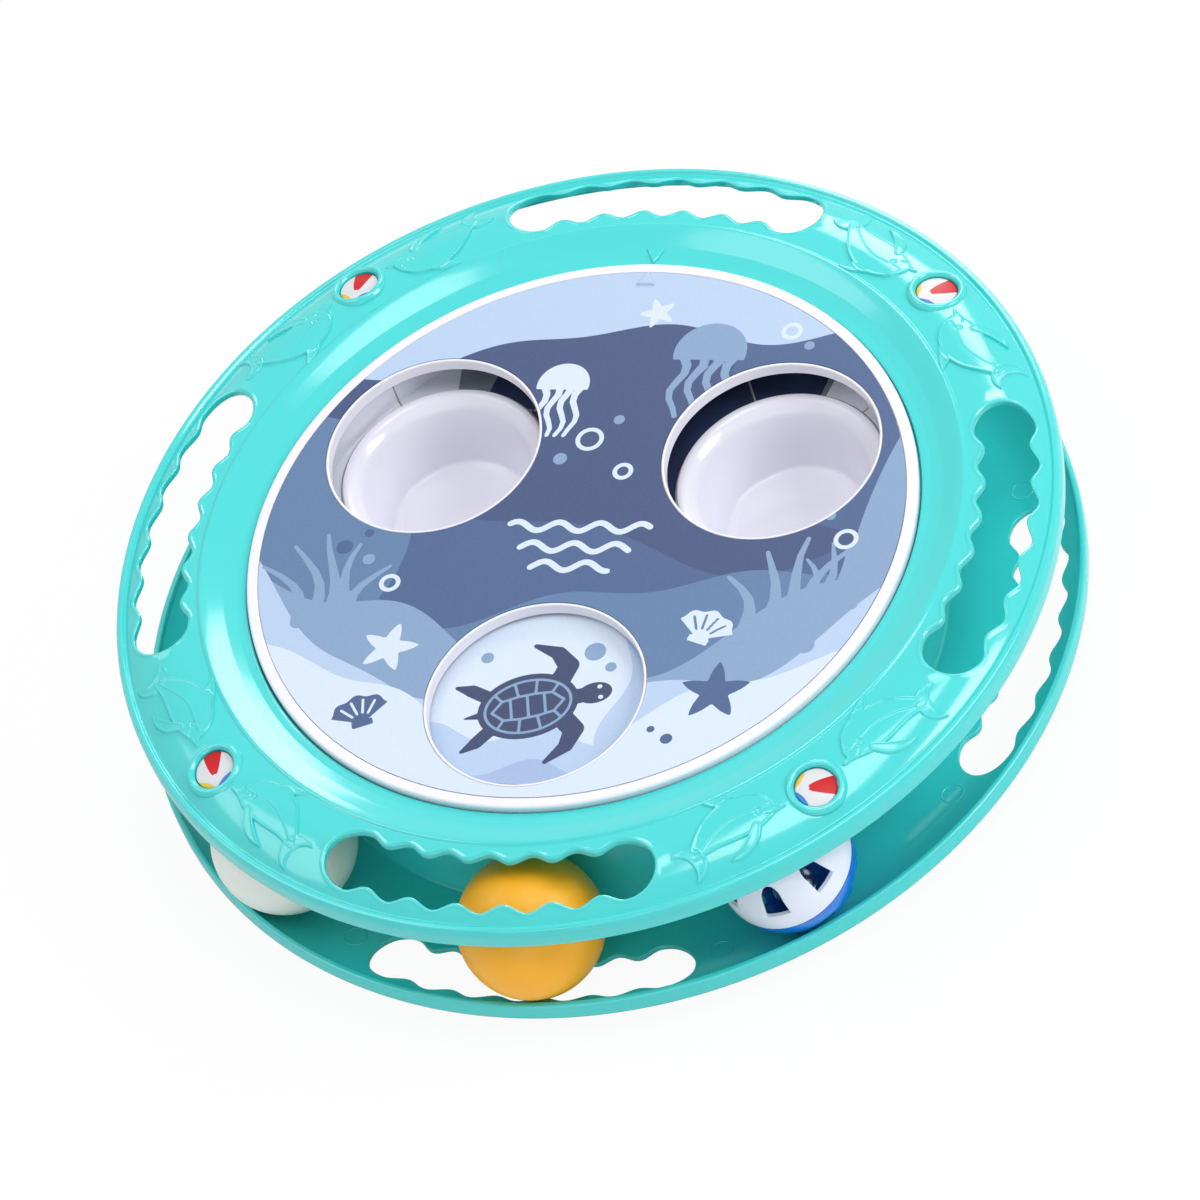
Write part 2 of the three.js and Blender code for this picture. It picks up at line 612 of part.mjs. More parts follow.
MEDAL_ANGLES.forEach((angle, i) => add(`medallion_${i + 1}`, medallion(angle), medalWhite));
SCREW_ANGLES.forEach((angle, i) => {
  add(`housing_screw_${i + 1}`, housingScrew(), steel).position.copy(polar(SCREW_RING_R, angle, HEAD_SEAT_Z));
});
MEDAL_ANGLES.forEach((angle, i) => {
  add(`foot_${i + 1}`, foot(), rubber).position.copy(polar(FOOT_RING_R, angle));
});

/** Two half shells about a place, the first with its pole along the given direction. */
function ballOf(names, finishes, half, place, pole) {
  const ball = new THREE.Group();
  ball.position.copy(place);
  ball.quaternion.setFromUnitVectors(new THREE.Vector3(0, 0, 1), pole.normalize());
  toy.add(ball);
  add(names[0], half(), finishes[0], ball);
  add(names[1], half(), finishes[1], ball).rotation.x = Math.PI;
}

const plainHalf = () => halfShell(BALL_D, BALL_WALL, BALL_STEPS, 5);
const bellHalf = () => halfShell(BELL_D, BELL_WALL, SCREW_STEPS + 4, 3);
const cagePlace = polar(CAGE_TRACK_R, CAGE_ANGLE, CAGE_Z);
const bellDrop = CAGE_D / 2 - CAGE_WALL - BELL_GAP - BELL_D / 2;
const bellPlace = cagePlace.clone().add(new THREE.Vector3(0, 0, -bellDrop));
const pelletDrop = BELL_D / 2 - BELL_WALL - PELLET_GAP - PELLET_D / 2;
const pelletPlace = bellPlace.clone().add(new THREE.Vector3(0, 0, -pelletDrop));

ballOf(["orange_ball_a", "orange_ball_b"], [orange, orange], plainHalf,
  polar(TRACK_R, ORANGE_ANGLE, BALL_Z), new THREE.Vector3(-0.5, 0.2, 0.8));
ballOf(["white_ball_a", "white_ball_b"], [ballWhite, ballWhite], plainHalf,
  polar(TRACK_R, WHITE_ANGLE, BALL_Z), new THREE.Vector3(0.3, 0.2, 0.9));
ballOf(["cage_ball_white", "cage_ball_blue"], [cageWhite, cageBlue], cageHalf,
  cagePlace, new THREE.Vector3(-0.14, -0.25, 0.96));
ballOf(["bell_cap", "bell_base"], [steel, steel], bellHalf, bellPlace, new THREE.Vector3(0, 0, 1));
add("bell_pellet", new THREE.SphereGeometry(PELLET_D / 2, SCREW_STEPS, 5), steel).position.copy(pelletPlace);

export default toy;
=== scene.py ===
"""The dressed model of a rotating cat toy: two slotted discs round a ball track, a turntable lid and bowls.

Shapes are worked out in millimetres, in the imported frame's axes, and put into meshes in metres.
"""
import logging
import math
from collections.abc import Callable, Sequence
from dataclasses import dataclass, field
from enum import Enum

import bmesh
import bpy
import numpy as np
from mathutils import Matrix, Vector


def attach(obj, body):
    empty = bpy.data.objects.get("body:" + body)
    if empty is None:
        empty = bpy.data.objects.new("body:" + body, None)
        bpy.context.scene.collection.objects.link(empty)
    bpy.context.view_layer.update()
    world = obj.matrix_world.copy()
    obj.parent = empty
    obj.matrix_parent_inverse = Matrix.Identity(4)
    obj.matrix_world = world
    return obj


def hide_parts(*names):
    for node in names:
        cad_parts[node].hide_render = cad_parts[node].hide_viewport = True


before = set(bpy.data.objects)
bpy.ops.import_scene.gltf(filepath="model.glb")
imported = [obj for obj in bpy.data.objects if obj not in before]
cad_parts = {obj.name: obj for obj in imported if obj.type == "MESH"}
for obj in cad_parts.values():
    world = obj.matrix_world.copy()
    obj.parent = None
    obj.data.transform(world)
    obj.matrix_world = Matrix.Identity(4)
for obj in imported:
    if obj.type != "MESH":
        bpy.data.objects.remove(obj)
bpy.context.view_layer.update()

LOG = logging.getLogger("cat_toy")
MM = 0.001
DETAIL = 1.0
Array = np.ndarray
Colour = tuple[float, float, float]


class Body(Enum):
    """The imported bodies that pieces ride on."""

    HOUSING = "housing"
    HUB = "hub"
    LID = "lid"
    LEFT_BOWL = "left_bowl"
    RIGHT_BOWL = "right_bowl"
    ORANGE_BALL = "orange_ball"
    WHITE_BALL = "white_ball"
    CAGE_BALL = "cage_ball"
    BELL = "bell"
    PELLET = "pellet"


def srgb(red: int, green: int, blue: int) -> Colour:
    """Gives the linear colour of three display values from 0 to 255.

    Args:
        red: the red part, 0 to 255.
        green: the green part.
        blue: the blue part.

    Returns:
        The colour in linear light.
    """
    values = np.array([red, green, blue]) / 255
    linear = np.where(values <= 0.04045, values / 12.92, ((values + 0.055) / 1.055) ** 2.4)
    return tuple(float(v) for v in linear)


def smooth(low: float, high: float, values: Array) -> Array:
    """Rises from 0 at low to 1 at high along 3t^2 - 2t^3; low may be the larger."""
    t = np.clip((values - low) / (high - low), 0, 1)
    return t * t * (3 - 2 * t)


def steps(count: float) -> int:
    """Gives a number of steps at the present level of detail."""
    return max(3, int(round(count * DETAIL)))


# Profiles and places


def rounded(corners: Sequence[tuple[float, ...]], count: int = 5) -> Array:
    """Rounds the corners of a line: each arc touches both sides and turns from one to the other.

    Args:
        corners: (r, z) or (r, z, radius) for each corner; no radius leaves it sharp.
        count: the steps in each arc.

    Returns:
        The points, one (r, z) in each row.
    """
    places = np.array([corner[:2] for corner in corners], float)
    radii = [corner[2] if len(corner) > 2 else 0.0 for corner in corners]
    pieces = [places[:1]]
    for before, here, after, radius in zip(places, places[1:], places[2:], radii[1:-1]):
        back, on = before - here, after - here
        back_length, on_length = np.linalg.norm(back), np.linalg.norm(on)
        back, on = back / back_length, on / on_length
        half = math.acos(float(np.clip(back @ on, -1, 1))) / 2
        if radius == 0 or half > math.pi / 2 - 1e-3:
            pieces.append(here[None])
            continue
        reach = min(radius / math.tan(half), 0.49 * back_length, 0.49 * on_length)
        middle = here + (back + on) / np.linalg.norm(back + on) * reach / math.cos(half)
        first, last = here + back * reach - middle, here + on * reach - middle
        sweep = math.pi - 2 * half
        t = np.linspace(0, 1, count + 1)[:, None]
        pieces.append(middle + (np.sin((1 - t) * sweep) * first + np.sin(t * sweep) * last) / math.sin(sweep))
    pieces.append(places[-1:])
    return np.concatenate(pieces)


def around(radius: Array | float, degrees: Array | float, height: Array | float) -> Array:
    """Gives x, y, z for a radius, an angle from +X in degrees and a height, in one shape."""
    turn = np.radians(degrees)
    return np.stack(np.broadcast_arrays(radius * np.cos(turn), radius * np.sin(turn), height), axis=-1)


def turned(profile: Array, columns: int, place: Matrix | None = None) -> Array:
    """Turns a profile about +Z: each row is one profile point at every angle of a full circle.

    Args:
        profile: the points (r, z).
        columns: how many angles.
        place: where the axis is put afterwards, in millimetres.

    Returns:
        A grid of points, profile points by angles.
    """
    angles = np.linspace(0, 360, columns, endpoint=False)
    grid = around(profile[:, :1], angles[None], profile[:, 1:])
    return grid if place is None else moved(grid, place)


def moved(points: Array, place: Matrix) -> Array:
    """Puts points through a 4 by 4 matrix."""
    matrix = np.array(place)
    return points @ matrix[:3, :3].T + matrix[:3, 3]


def facing(pole: Sequence[float], centre: Sequence[float]) -> Matrix:
    """Gives the matrix that takes +Z to a pole and the origin to a centre."""
    return Matrix.Translation(centre) @ Vector(pole).to_track_quat("Z", "Y").to_matrix().to_4x4()


def spot(radius: float, degrees: float) -> Matrix:
    """Gives the matrix that moves the origin to a radius and an angle from +X."""
    return Matrix.Translation(around(radius, degrees, 0.0).tolist())


def level(x: Array, y: Array, z: Array | float) -> Array:
    """Gives points from places and a height."""
    return np.stack([x, y, z + 0 * x], axis=-1)


def looped(profile: Array) -> Array:
    """Closes a profile with its first point."""
    return np.concatenate([profile, profile[:1]])


def wall_to(edge: Array, height: float) -> Array:
    """Gives the wall from a row of points straight up or down to a height."""
    return np.concatenate([edge, edge * [1, 1, 0] + [0, 0, height]])


def square(half: float, count: float) -> tuple[Array, Array]:
    """Gives the places of a square grid about 0, each side twice a half."""
    side = np.linspace(-half, half, steps(count))
    return tuple(np.meshgrid(side, side))


def globe(latitude: Array, wide: Array | float, tall: float | Array) -> Array:
    """Gives a ball's profile by latitude in radians: wide times the cosine, tall times the sine."""
    return np.stack([np.maximum(wide * np.cos(latitude), 0.001), tall * np.sin(latitude)], axis=1)


class Surface:
    """The grids of one piece, gathered into one mesh with its seams merged."""

    def __init__(self, marks: Sequence[str] = ()) -> None:
        """Starts an empty surface that may carry named values for each point.

        Args:
            marks: the names of the marks that the mesh carries.
        """
        self.points: list[Array] = []
        self.faces: list[Array] = []
        self.values: dict[str, list[Array]] = {name: [] for name in marks}
        self.count = 0

    def add(self, grid: Array, wrap: bool = False, keep: Array | None = None, **values: Array) -> "Surface":
        """Adds a grid of points whose neighbours are joined by four-sided faces.

        Args:
            grid: rows by columns by three, in millimetres.
            wrap: whether the last column joins the first.
            keep: which faces stay, rows less one by columns.
            values: an array of rows by columns for each named value; a missing one is far outside.

        Returns:
            The surface itself.
        """
        rows, columns = grid.shape[:2]
        index = np.arange(rows * columns).reshape(rows, columns) + self.count
        if wrap:
            index = np.concatenate([index, index[:, :1]], axis=1)
        quads = np.stack([index[:-1, :-1], index[:-1, 1:], index[1:, 1:], index[1:, :-1]], axis=-1)
        self.faces.append((quads if keep is None else quads[keep]).reshape(-1, 4))
        self.points.append(grid.reshape(-1, 3))
        for name, parts in self.values.items():
            parts.append(np.ravel(values[name]) if name in values else np.full(rows * columns, -9.0))
        self.count += rows * columns
        return self

    def mesh(self, name: str, crease: float = 35) -> bpy.types.Mesh:
        """Builds the mesh, merges what coincides, turns faces outward and shades it smooth.

        Args:
            name: the mesh's name.
            crease: the angle in degrees past which an edge stays sharp.

        Returns:
            The mesh, in metres.
        """
        points = np.concatenate(self.points) * MM
        faces = np.concatenate(self.faces)
        mesh = bpy.data.meshes.new(name)
        mesh.vertices.add(len(points))
        mesh.vertices.foreach_set("co", points.ravel())
        mesh.loops.add(faces.size)
        mesh.loops.foreach_set("vertex_index", faces.ravel())
        mesh.polygons.add(len(faces))
        mesh.polygons.foreach_set("loop_start", np.arange(0, faces.size, 4))
        mesh.update(calc_edges=True)
        for mark, parts in self.values.items():
            layer = mesh.attributes.new(mark, "FLOAT", "POINT")
            layer.data.foreach_set("value", np.concatenate(parts).astype(np.float32))
        work = bmesh.new()
        work.from_mesh(mesh)
        bmesh.ops.remove_doubles(work, verts=work.verts, dist=2e-6)
        bmesh.ops.delete(work, geom=[v for v in work.verts if not v.link_faces], context="VERTS")
        bmesh.ops.recalc_face_normals(work, faces=work.faces)
        work.to_mesh(mesh)
        work.free()
        mesh.polygons.foreach_set("use_smooth", np.ones(len(mesh.polygons), bool))
        mesh.set_sharp_from_angle(angle=math.radians(crease))
        return mesh


def linked(name: str, data: bpy.types.ID) -> bpy.types.Object:
    """Makes an object from its data and links it into the scene.

    Args:
        name: the object's name.
        data: its mesh, light or camera.

    Returns:
        The new object.
    """
    made = bpy.data.objects.new(name, data)
    bpy.context.scene.collection.objects.link(made)
    return made


def piece(name: str, surface: Surface, finish: bpy.types.Material, body: Body,
          nodes: Sequence[str] = (), crease: float = 35) -> None:
    """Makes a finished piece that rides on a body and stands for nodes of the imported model.

    Args:
        name: the object's name.
        surface: its grids.
        finish: its material.
        body: the body it rides on.
        nodes: the nodes it replaces.
        crease: the angle past which an edge stays sharp.
    """
    made = linked(name, surface.mesh(name, crease))
    made.data.materials.append(finish)
    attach(made, body.value)
    if nodes:
        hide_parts(*nodes)
    LOG.info("%s rides on %s, %d faces", name, body.value, len(made.data.polygons))


# Shader maths


class Expression:
    """A shader value on which ordinary arithmetic adds Math nodes."""

    def __init__(self, nodes: "Nodes", socket: bpy.types.NodeSocket) -> None:
        """Wraps an output socket."""
        self.nodes = nodes
        self.socket = socket

    def math(self, operation: str, *others: "Expression | float") -> "Expression":
        """Applies a Math node to this value and the others, in that order."""
        return self.nodes.node("ShaderNodeMath", {"operation": operation}, dict(enumerate((self, *others))))

    def __add__(self, other: "Expression | float") -> "Expression":
        """Adds."""
        return self.math("ADD", other)

    __radd__ = __add__

    def __mul__(self, other: "Expression | float") -> "Expression":
        """Multiplies."""
        return self.math("MULTIPLY", other)

    __rmul__ = __mul__

    def __sub__(self, other: "Expression | float") -> "Expression":
        """Takes the other away."""
        return self.math("SUBTRACT", other)

    def __rsub__(self, other: float) -> "Expression":
        """Takes this away from the other."""
        return self * -1 + other

    def clamped(self) -> "Expression":
        """Keeps the value between 0 and 1."""
        return self.nodes.node("ShaderNodeClamp", {}, {0: self})


class Nodes:
    """The node tree of a material or of the world."""

    def __init__(self, tree: bpy.types.NodeTree) -> None:
        """Empties the tree."""
        self.tree = tree
        tree.nodes.clear()

    def node(self, kind: str, settings: dict, inputs: dict, output: int | str = 0) -> Expression:
        """Adds any node.

        Args:
            kind: the node's type.
            settings: its own settings, set first.
            inputs: the value or the link of each socket, by name or place.
            output: which output is wanted.

        Returns:
            The output, wrapped.
        """
        made = self.tree.nodes.new(kind)
        for name, value in settings.items():
            setattr(made, name, value)
        for key, value in inputs.items():
            self.plug(made.inputs[key], value)
        return Expression(self, made.outputs[output])

    def plug(self, socket: bpy.types.NodeSocket, value: object) -> None:
        """Links a wrapped value to a socket, or sets a plain one.

        Args:
            socket: the socket to set.
            value: a number, a colour, or a value to link.
        """
        if isinstance(value, Expression):
            self.tree.links.new(value.socket, socket)
        else:
            socket.default_value = value


class Recipe(Nodes):
    """A material being made."""

    def __init__(self, name: str) -> None:
        """Starts a material that has a shader and an output.

        Args:
            name: the material's name.
        """
        self.material = bpy.data.materials.new(name)
        self.material.use_nodes = True
        super().__init__(self.material.node_tree)
        self.shader = self.tree.nodes.new("ShaderNodeBsdfPrincipled")
        self.output = self.tree.nodes.new("ShaderNodeOutputMaterial")
        self.tree.links.new(self.shader.outputs[0], self.output.inputs[0])

    def mix(self, factor: Expression | float, low: object, high: object) -> Expression:
        """Mixes two colours: the first at factor 0, the second at 1."""
        pair = [(*shade, 1.0) if isinstance(shade, tuple) else shade for shade in (low, high)]
        return self.node("ShaderNodeMix", {"data_type": "RGBA"}, {0: factor, 6: pair[0], 7: pair[1]}, 2)

    def noise(self, scale: float, detail: float = 2, stretch: Colour = (1, 1, 1)) -> Expression:
        """Gives noise about 0.5 whose grain is 1 / scale metres, stretched along the axes.

        Args:
            scale: grains in a metre.
            detail: finer layers on top.
            stretch: the scale along each axis.

        Returns:
            The noise.
        """
        where = self.node("ShaderNodeTexCoord", {}, {}, "Object")
        if stretch != (1, 1, 1):
            where = self.node("ShaderNodeMapping", {}, {0: where, 3: stretch})
        return self.node("ShaderNodeTexNoise", {}, {"Vector": where, "Scale": scale, "Detail": detail})

    def mark(self, name: str) -> Expression:
        """Gives a named value that the mesh carries."""
        return self.node("ShaderNodeAttribute", {"attribute_name": name}, {}, "Fac")

    def bump(self, height: Expression, depth: float) -> Expression:
        """Gives the normal of a surface raised by height times depth metres."""
        return self.node("ShaderNodeBump", {}, {"Strength": 1.0, "Distance": depth, "Height": height})

    def finish(self, **sockets: object) -> bpy.types.Material:
        """Sets the shader's sockets, with _ for a space, and gives the material.

        Args:
            sockets: a value for each socket's name.

        Returns:
            The material.
        """
        for name, value in sockets.items():
            if isinstance(value, tuple) and len(value) == 3:
                value = (*value, 1.0)
            self.plug(self.shader.inputs[name.replace("_", " ")], value)
        return self.material


@dataclass(frozen=True)
class Skin:
    """A finish of one colour: clouded from darker to lighter, with an uneven gloss and a fine relief.

    A noise is its scale and its detail. The gloss and the relief share the cloud's noise unless
    they name their own, the roughness swings about its middle, and a depth of 0 means no relief.
    """

    name: str
    colour: Colour
    roughness: float
    cloud: tuple[float, float]
    dark: float
    light: float = 1.0
    swing: float = 0.1
    gloss: tuple[float, float] | None = None
    relief: tuple[float, float] | None = None
    depth: float = 0.0
    stretch: Colour = (1, 1, 1)
    sockets: tuple[tuple[str, float], ...] = ()

    def make(self) -> bpy.types.Material:
        """Makes the material.

        Returns:
            The material.
        """
        recipe = Recipe(self.name)
        cloud = recipe.noise(*self.cloud, self.stretch)
        darker = tuple(value * self.dark for value in self.colour)
        lighter = tuple(min(1.0, value * self.light) for value in self.colour)
        gloss = recipe.noise(*self.gloss) if self.gloss else cloud
        sockets: dict[str, object] = dict(self.sockets)
        if self.depth:
            relief = recipe.noise(*self.relief) if self.relief else cloud
            sockets["Normal"] = recipe.bump(relief, self.depth)
        return recipe.finish(Base_Color=recipe.mix(cloud, darker, lighter),
                             Roughness=gloss * self.swing + (self.roughness - self.swing / 2), **sockets)


@dataclass(frozen=True)
class Print:
    """A printed sheet: inks laid one over another, with a fine dot and a satin film over them."""

    name: str
    ground: Colour
    inks: tuple[tuple[str, Colour], ...]
    roughness: float = 0.46
    tooth: float = 0.04
    sheen: float = 0.42

    def make(self) -> bpy.types.Material:
        """Makes the material; an ink covers where its mark, a distance in millimetres, is above 0.

        Returns:
            The material.
        """
        recipe = Recipe(self.name)
        colour: Colour | Expression = self.ground
        for mark, ink in self.inks:
            cover = (recipe.mark(mark) * 9 + 0.5).clamped()
            colour = recipe.mix(cover, colour, ink)
        dots = recipe.noise(1500, 2, (1, 2.4, 1))
        darker = recipe.mix(self.tooth * 3, colour, (0.0, 0.0, 0.02))
        lighter = recipe.mix(self.tooth, colour, (0.7, 0.8, 1.0))
        gloss = dots * 0.1 + (self.roughness - 0.05)
        return recipe.finish(Base_Color=recipe.mix(dots, darker, lighter), Roughness=gloss,
                             Normal=recipe.bump(dots, 0.000015), Specular_IOR_Level=self.sheen)


class Finishes:
    """Every material of the toy, made once."""

    def __init__(self) -> None:
        """Makes them all."""
        navy, deep, slate = srgb(50, 70, 114), srgb(62, 88, 132), srgb(86, 118, 157)
        mist, pale, foam = srgb(128, 156, 190), srgb(178, 200, 229), srgb(210, 223, 241)
        self.aqua = self.gloss("aqua_plastic", srgb(58, 208, 207), 0.12, 0.75)
        self.lid = self.gloss("white_plastic", srgb(234, 233, 242), 0.18, 0.3)
        self.film = Print("sea_print", navy, (
            ("deep", deep), ("slate", slate), ("mist", mist), ("pale", pale), ("foam", foam),
            ("dark_motif", deep), ("mist_motif", mist), ("pale_motif", foam))).make()
        self.picture = Print("turtle_print", foam, (
            ("slate", pale), ("mist", srgb(160, 182, 218)), ("dark_motif", srgb(38, 54, 92)),
            ("mist_motif", mist), ("pale_motif", foam))).make()
        self.deck_print = Print("deck_print", srgb(214, 216, 226), (
            ("grey", srgb(120, 128, 134)), ("navy", srgb(30, 42, 76)), ("line", srgb(150, 144, 132))),
                                0.2, 0.02, 0.5).make()
        self.medallion = Print("beach_ball_print", srgb(216, 216, 220), (
            ("red", srgb(198, 8, 16)), ("yellow", srgb(232, 186, 62)), ("blue", srgb(70, 124, 204))),
                               0.3, 0.01, 0.25).make()
        self.tray = self.matte("tray_plastic", srgb(206, 212, 224), 0.4)
        self.glaze = Skin("bowl_glaze", srgb(233, 232, 243), 0.15, (40, 2), 0.965, 1.0, 0.04, (120, 1),
                          (60, 1), 0.00005, sockets=(("Specular_IOR_Level", 0.45),)).make()
        self.nylon = self.matte("nylon", srgb(222, 222, 214), 0.55)
        self.steel = Skin("plated_steel", srgb(196, 198, 204), 0.28, (1800, 3), 0.85, swing=0.16,
                          stretch=(1, 1, 0.1), sockets=(("Metallic", 1.0),)).make()
        self.rubber = self.matte("foot_rubber", srgb(112, 122, 128), 0.75)
        self.orange = self.satin("orange_skin", srgb(255, 180, 22), 0.07)
        self.white = self.satin("white_skin", srgb(228, 238, 232), 0.12)
        self.cage_white = self.gloss("cage_white_plastic", srgb(226, 234, 250), 0.2, 0.5)
        self.cage_blue = self.gloss("cage_blue_plastic", srgb(20, 116, 216), 0.16, 0.5)

    def gloss(self, name: str, colour: Colour, roughness: float, shine: float) -> bpy.types.Material:
        """Gives moulded plastic: a clear colour with a faint flow in its gloss."""
        return Skin(name, colour, roughness, (14, 3), 0.94, 1.03, 0.05, (260, 2), (38, 1), 0.00003,
                    sockets=(("IOR", 1.5), ("Specular_IOR_Level", shine))).make()

    def matte(self, name: str, colour: Colour, roughness: float) -> bpy.types.Material:
        """Gives matte plastic or rubber with a fine tooth."""
        return Skin(name, colour, roughness, (700, 3), 0.92, depth=0.00003).make()

    def satin(self, name: str, colour: Colour, glow: float) -> bpy.types.Material:
        """Gives a light hollow ball's satin skin, which lets a little light through."""
        return Skin(name, colour, 0.42, (30, 3), 0.95, 1.0, 0.12, (900, 2), (1400, 2), 0.00002,
                    sockets=(("Subsurface_Weight", glow), ("Subsurface_Scale", 0.004))).make()


# Flat drawing, in millimetres; every shape is a distance that is above 0 inside it


class Draw:
    """Distances to drawn shapes, worked out for a whole array of places at once."""

    def __init__(self, x: Array, y: Array) -> None:
        """Takes the places."""
        self.x = x
        self.y = y

    def about(self, cx: float, cy: float, turn: float) -> tuple[Array, Array]:
        """Gives the places about a centre, in axes turned by an angle in degrees.

        Args:
            cx: the middle's place across.
            cy: the middle's place up.
            turn: the turn in degrees.

        Returns:
            Both coordinates there.
        """
        c, s = math.cos(math.radians(turn)), math.sin(math.radians(turn))
        x, y = self.x - cx, self.y - cy
        return x * c + y * s, y * c - x * s

    def disc(self, cx: float, cy: float, radius: float) -> Array:
        """A disc: its radius less the distance to its centre."""
        return radius - np.hypot(self.x - cx, self.y - cy)

    def hoop(self, cx: float, cy: float, radius: float, line: float) -> Array:
        """A circle drawn as a line: half the line less the distance to the circle."""
        return line / 2 - np.abs(self.disc(cx, cy, radius))

    def oval(self, cx: float, cy: float, a: float, b: float, turn: float = 0) -> Array:
        """An ellipse: (1 - k) times its mean radius, where k is 1 on its edge.

        Args:
            cx: the middle's place across.
            cy: the middle's place up.
            a: half its width, before the turn.
            b: half its height.
            turn: the turn in degrees.

        Returns:
            The distance inside its edge.
        """
        u, v = self.about(cx, cy, turn)
        k = np.hypot(u / a, v / b)
        slope = np.hypot(u / a**2, v / b**2) / np.maximum(k, 1e-6)
        return (1 - k) / np.maximum(slope, 1e-6)

    def stroke(self, path: Sequence[Sequence[float]]) -> Array:
        """A tapering line through (x, y, half width): the width there less the distance to each stretch.

        Args:
            path: the points, each with its half width.

        Returns:
            The distance inside its edge.
        """
        best = np.full(np.shape(self.x), -1e3)
        for (ax, ay, aw), (bx, by, bw) in zip(path, path[1:]):
            dx, dy = bx - ax, by - ay
            x, y = self.x - ax, self.y - ay
            t = np.clip((x * dx + y * dy) / (dx * dx + dy * dy), 0, 1)
            best = np.maximum(best, aw + (bw - aw) * t - np.hypot(x - dx * t, y - dy * t))
        return best

    @staticmethod
    def curve(knots: Sequence[Sequence[float]], count: int = 8) -> Array:
        """Gives a smooth line through knots: between two, a cubic whose slopes span their neighbours.

        Args:
            knots: (x, y, half width) for each.
            count: the stretches between two knots.

        Returns:
            The line's points, ready for stroke.
        """
        rows = np.array(knots, float)
        rows = np.concatenate([2 * rows[:1] - rows[1:2], rows, 2 * rows[-1:] - rows[-2:-1]])
        t = np.linspace(0, 1, count + 1)[:-1, None, None]
        a, b, c, d = rows[:-3], rows[1:-2], rows[2:-1], rows[3:]
        points = 0.5 * (2 * b + (c - a) * t + (2 * a - 5 * b + 4 * c - d) * t**2
                        + (3 * b - a - 3 * c + d) * t**3)
        return np.concatenate([points.transpose(1, 0, 2).reshape(-1, rows.shape[1]), rows[-2:-1]])

    def star(self, cx: float, cy: float, radius: float, turn: float) -> Array:
        """A rounded five-armed star: the radius falls between the arms with the angle.

        Args:
            cx: the middle's place across.
            cy: the middle's place up.
            radius: the arms' reach.
            turn: the turn in degrees.

        Returns:
            The distance inside its edge.
        """
        angle = np.arctan2(self.y - cy, self.x - cx) - math.radians(turn)
        wave = np.abs(((angle / (2 * math.pi) * 5) % 1) - 0.5) * 2
        return (radius * (0.42 + 0.58 * wave**1.6) - np.hypot(self.x - cx, self.y - cy)) * 0.6

    def shell(self, cx: float, cy: float, radius: float, turn: float) -> Array:
        """A fan shell: a scalloped fan over a small hinge, parted by four straight gaps.

        Args:
            cx: the middle's place across.
            cy: the middle's place up.
            radius: its size.
            turn: the turn in degrees.

        Returns:
            The distance inside its edge.
        """
        u, v = self.about(cx, cy, turn)
        v = v + radius * 0.55
        angle, far = np.arctan2(u, v), np.hypot(u, v)
        fan = np.minimum(radius * (1.3 + 0.06 * np.cos(angle * 10)) - far, (1.05 - np.abs(angle)) * far)
        gaps = [Draw(u, v).stroke([(reach * radius * math.sin(t), reach * radius * math.cos(t), 0.38)
                                   for reach in (0.5, 1.1)]) for t in (-0.63, -0.21, 0.21, 0.63)]
        hinge = np.minimum(radius * 0.4 - np.abs(u), radius * 0.14 - np.abs(v))
        return np.maximum(np.minimum(fan, -np.maximum.reduce(gaps)), hinge)

    def tuft(self, cx: float, cy: float, size: float, lean: float) -> Array:
        """A tuft of sea grass: five tapering blades that fan out and bend from one root.

        Args:
            cx: the root's place across.
            cy: the root's place up.
            size: the middle blade's height.
            lean: how far it bends, over its height.

        Returns:
            The distance inside its edge.
        """
        blades = []
        for k, length in zip((-2, -1, 0, 1, 2), (0.62, 0.86, 1.0, 0.9, 0.66)):
            path = []
            for t in (step / 6 for step in range(7)):
                side = k * (0.1 + 0.2 * t * t) + lean * t * t + 0.05 * math.sin(5 * t + k)
                path.append((cx + size * side, cy + size * length * t, (2.5 - 1.9 * t) * size / 34))
            blades.append(self.stroke(path))
        return np.maximum.reduce(blades)


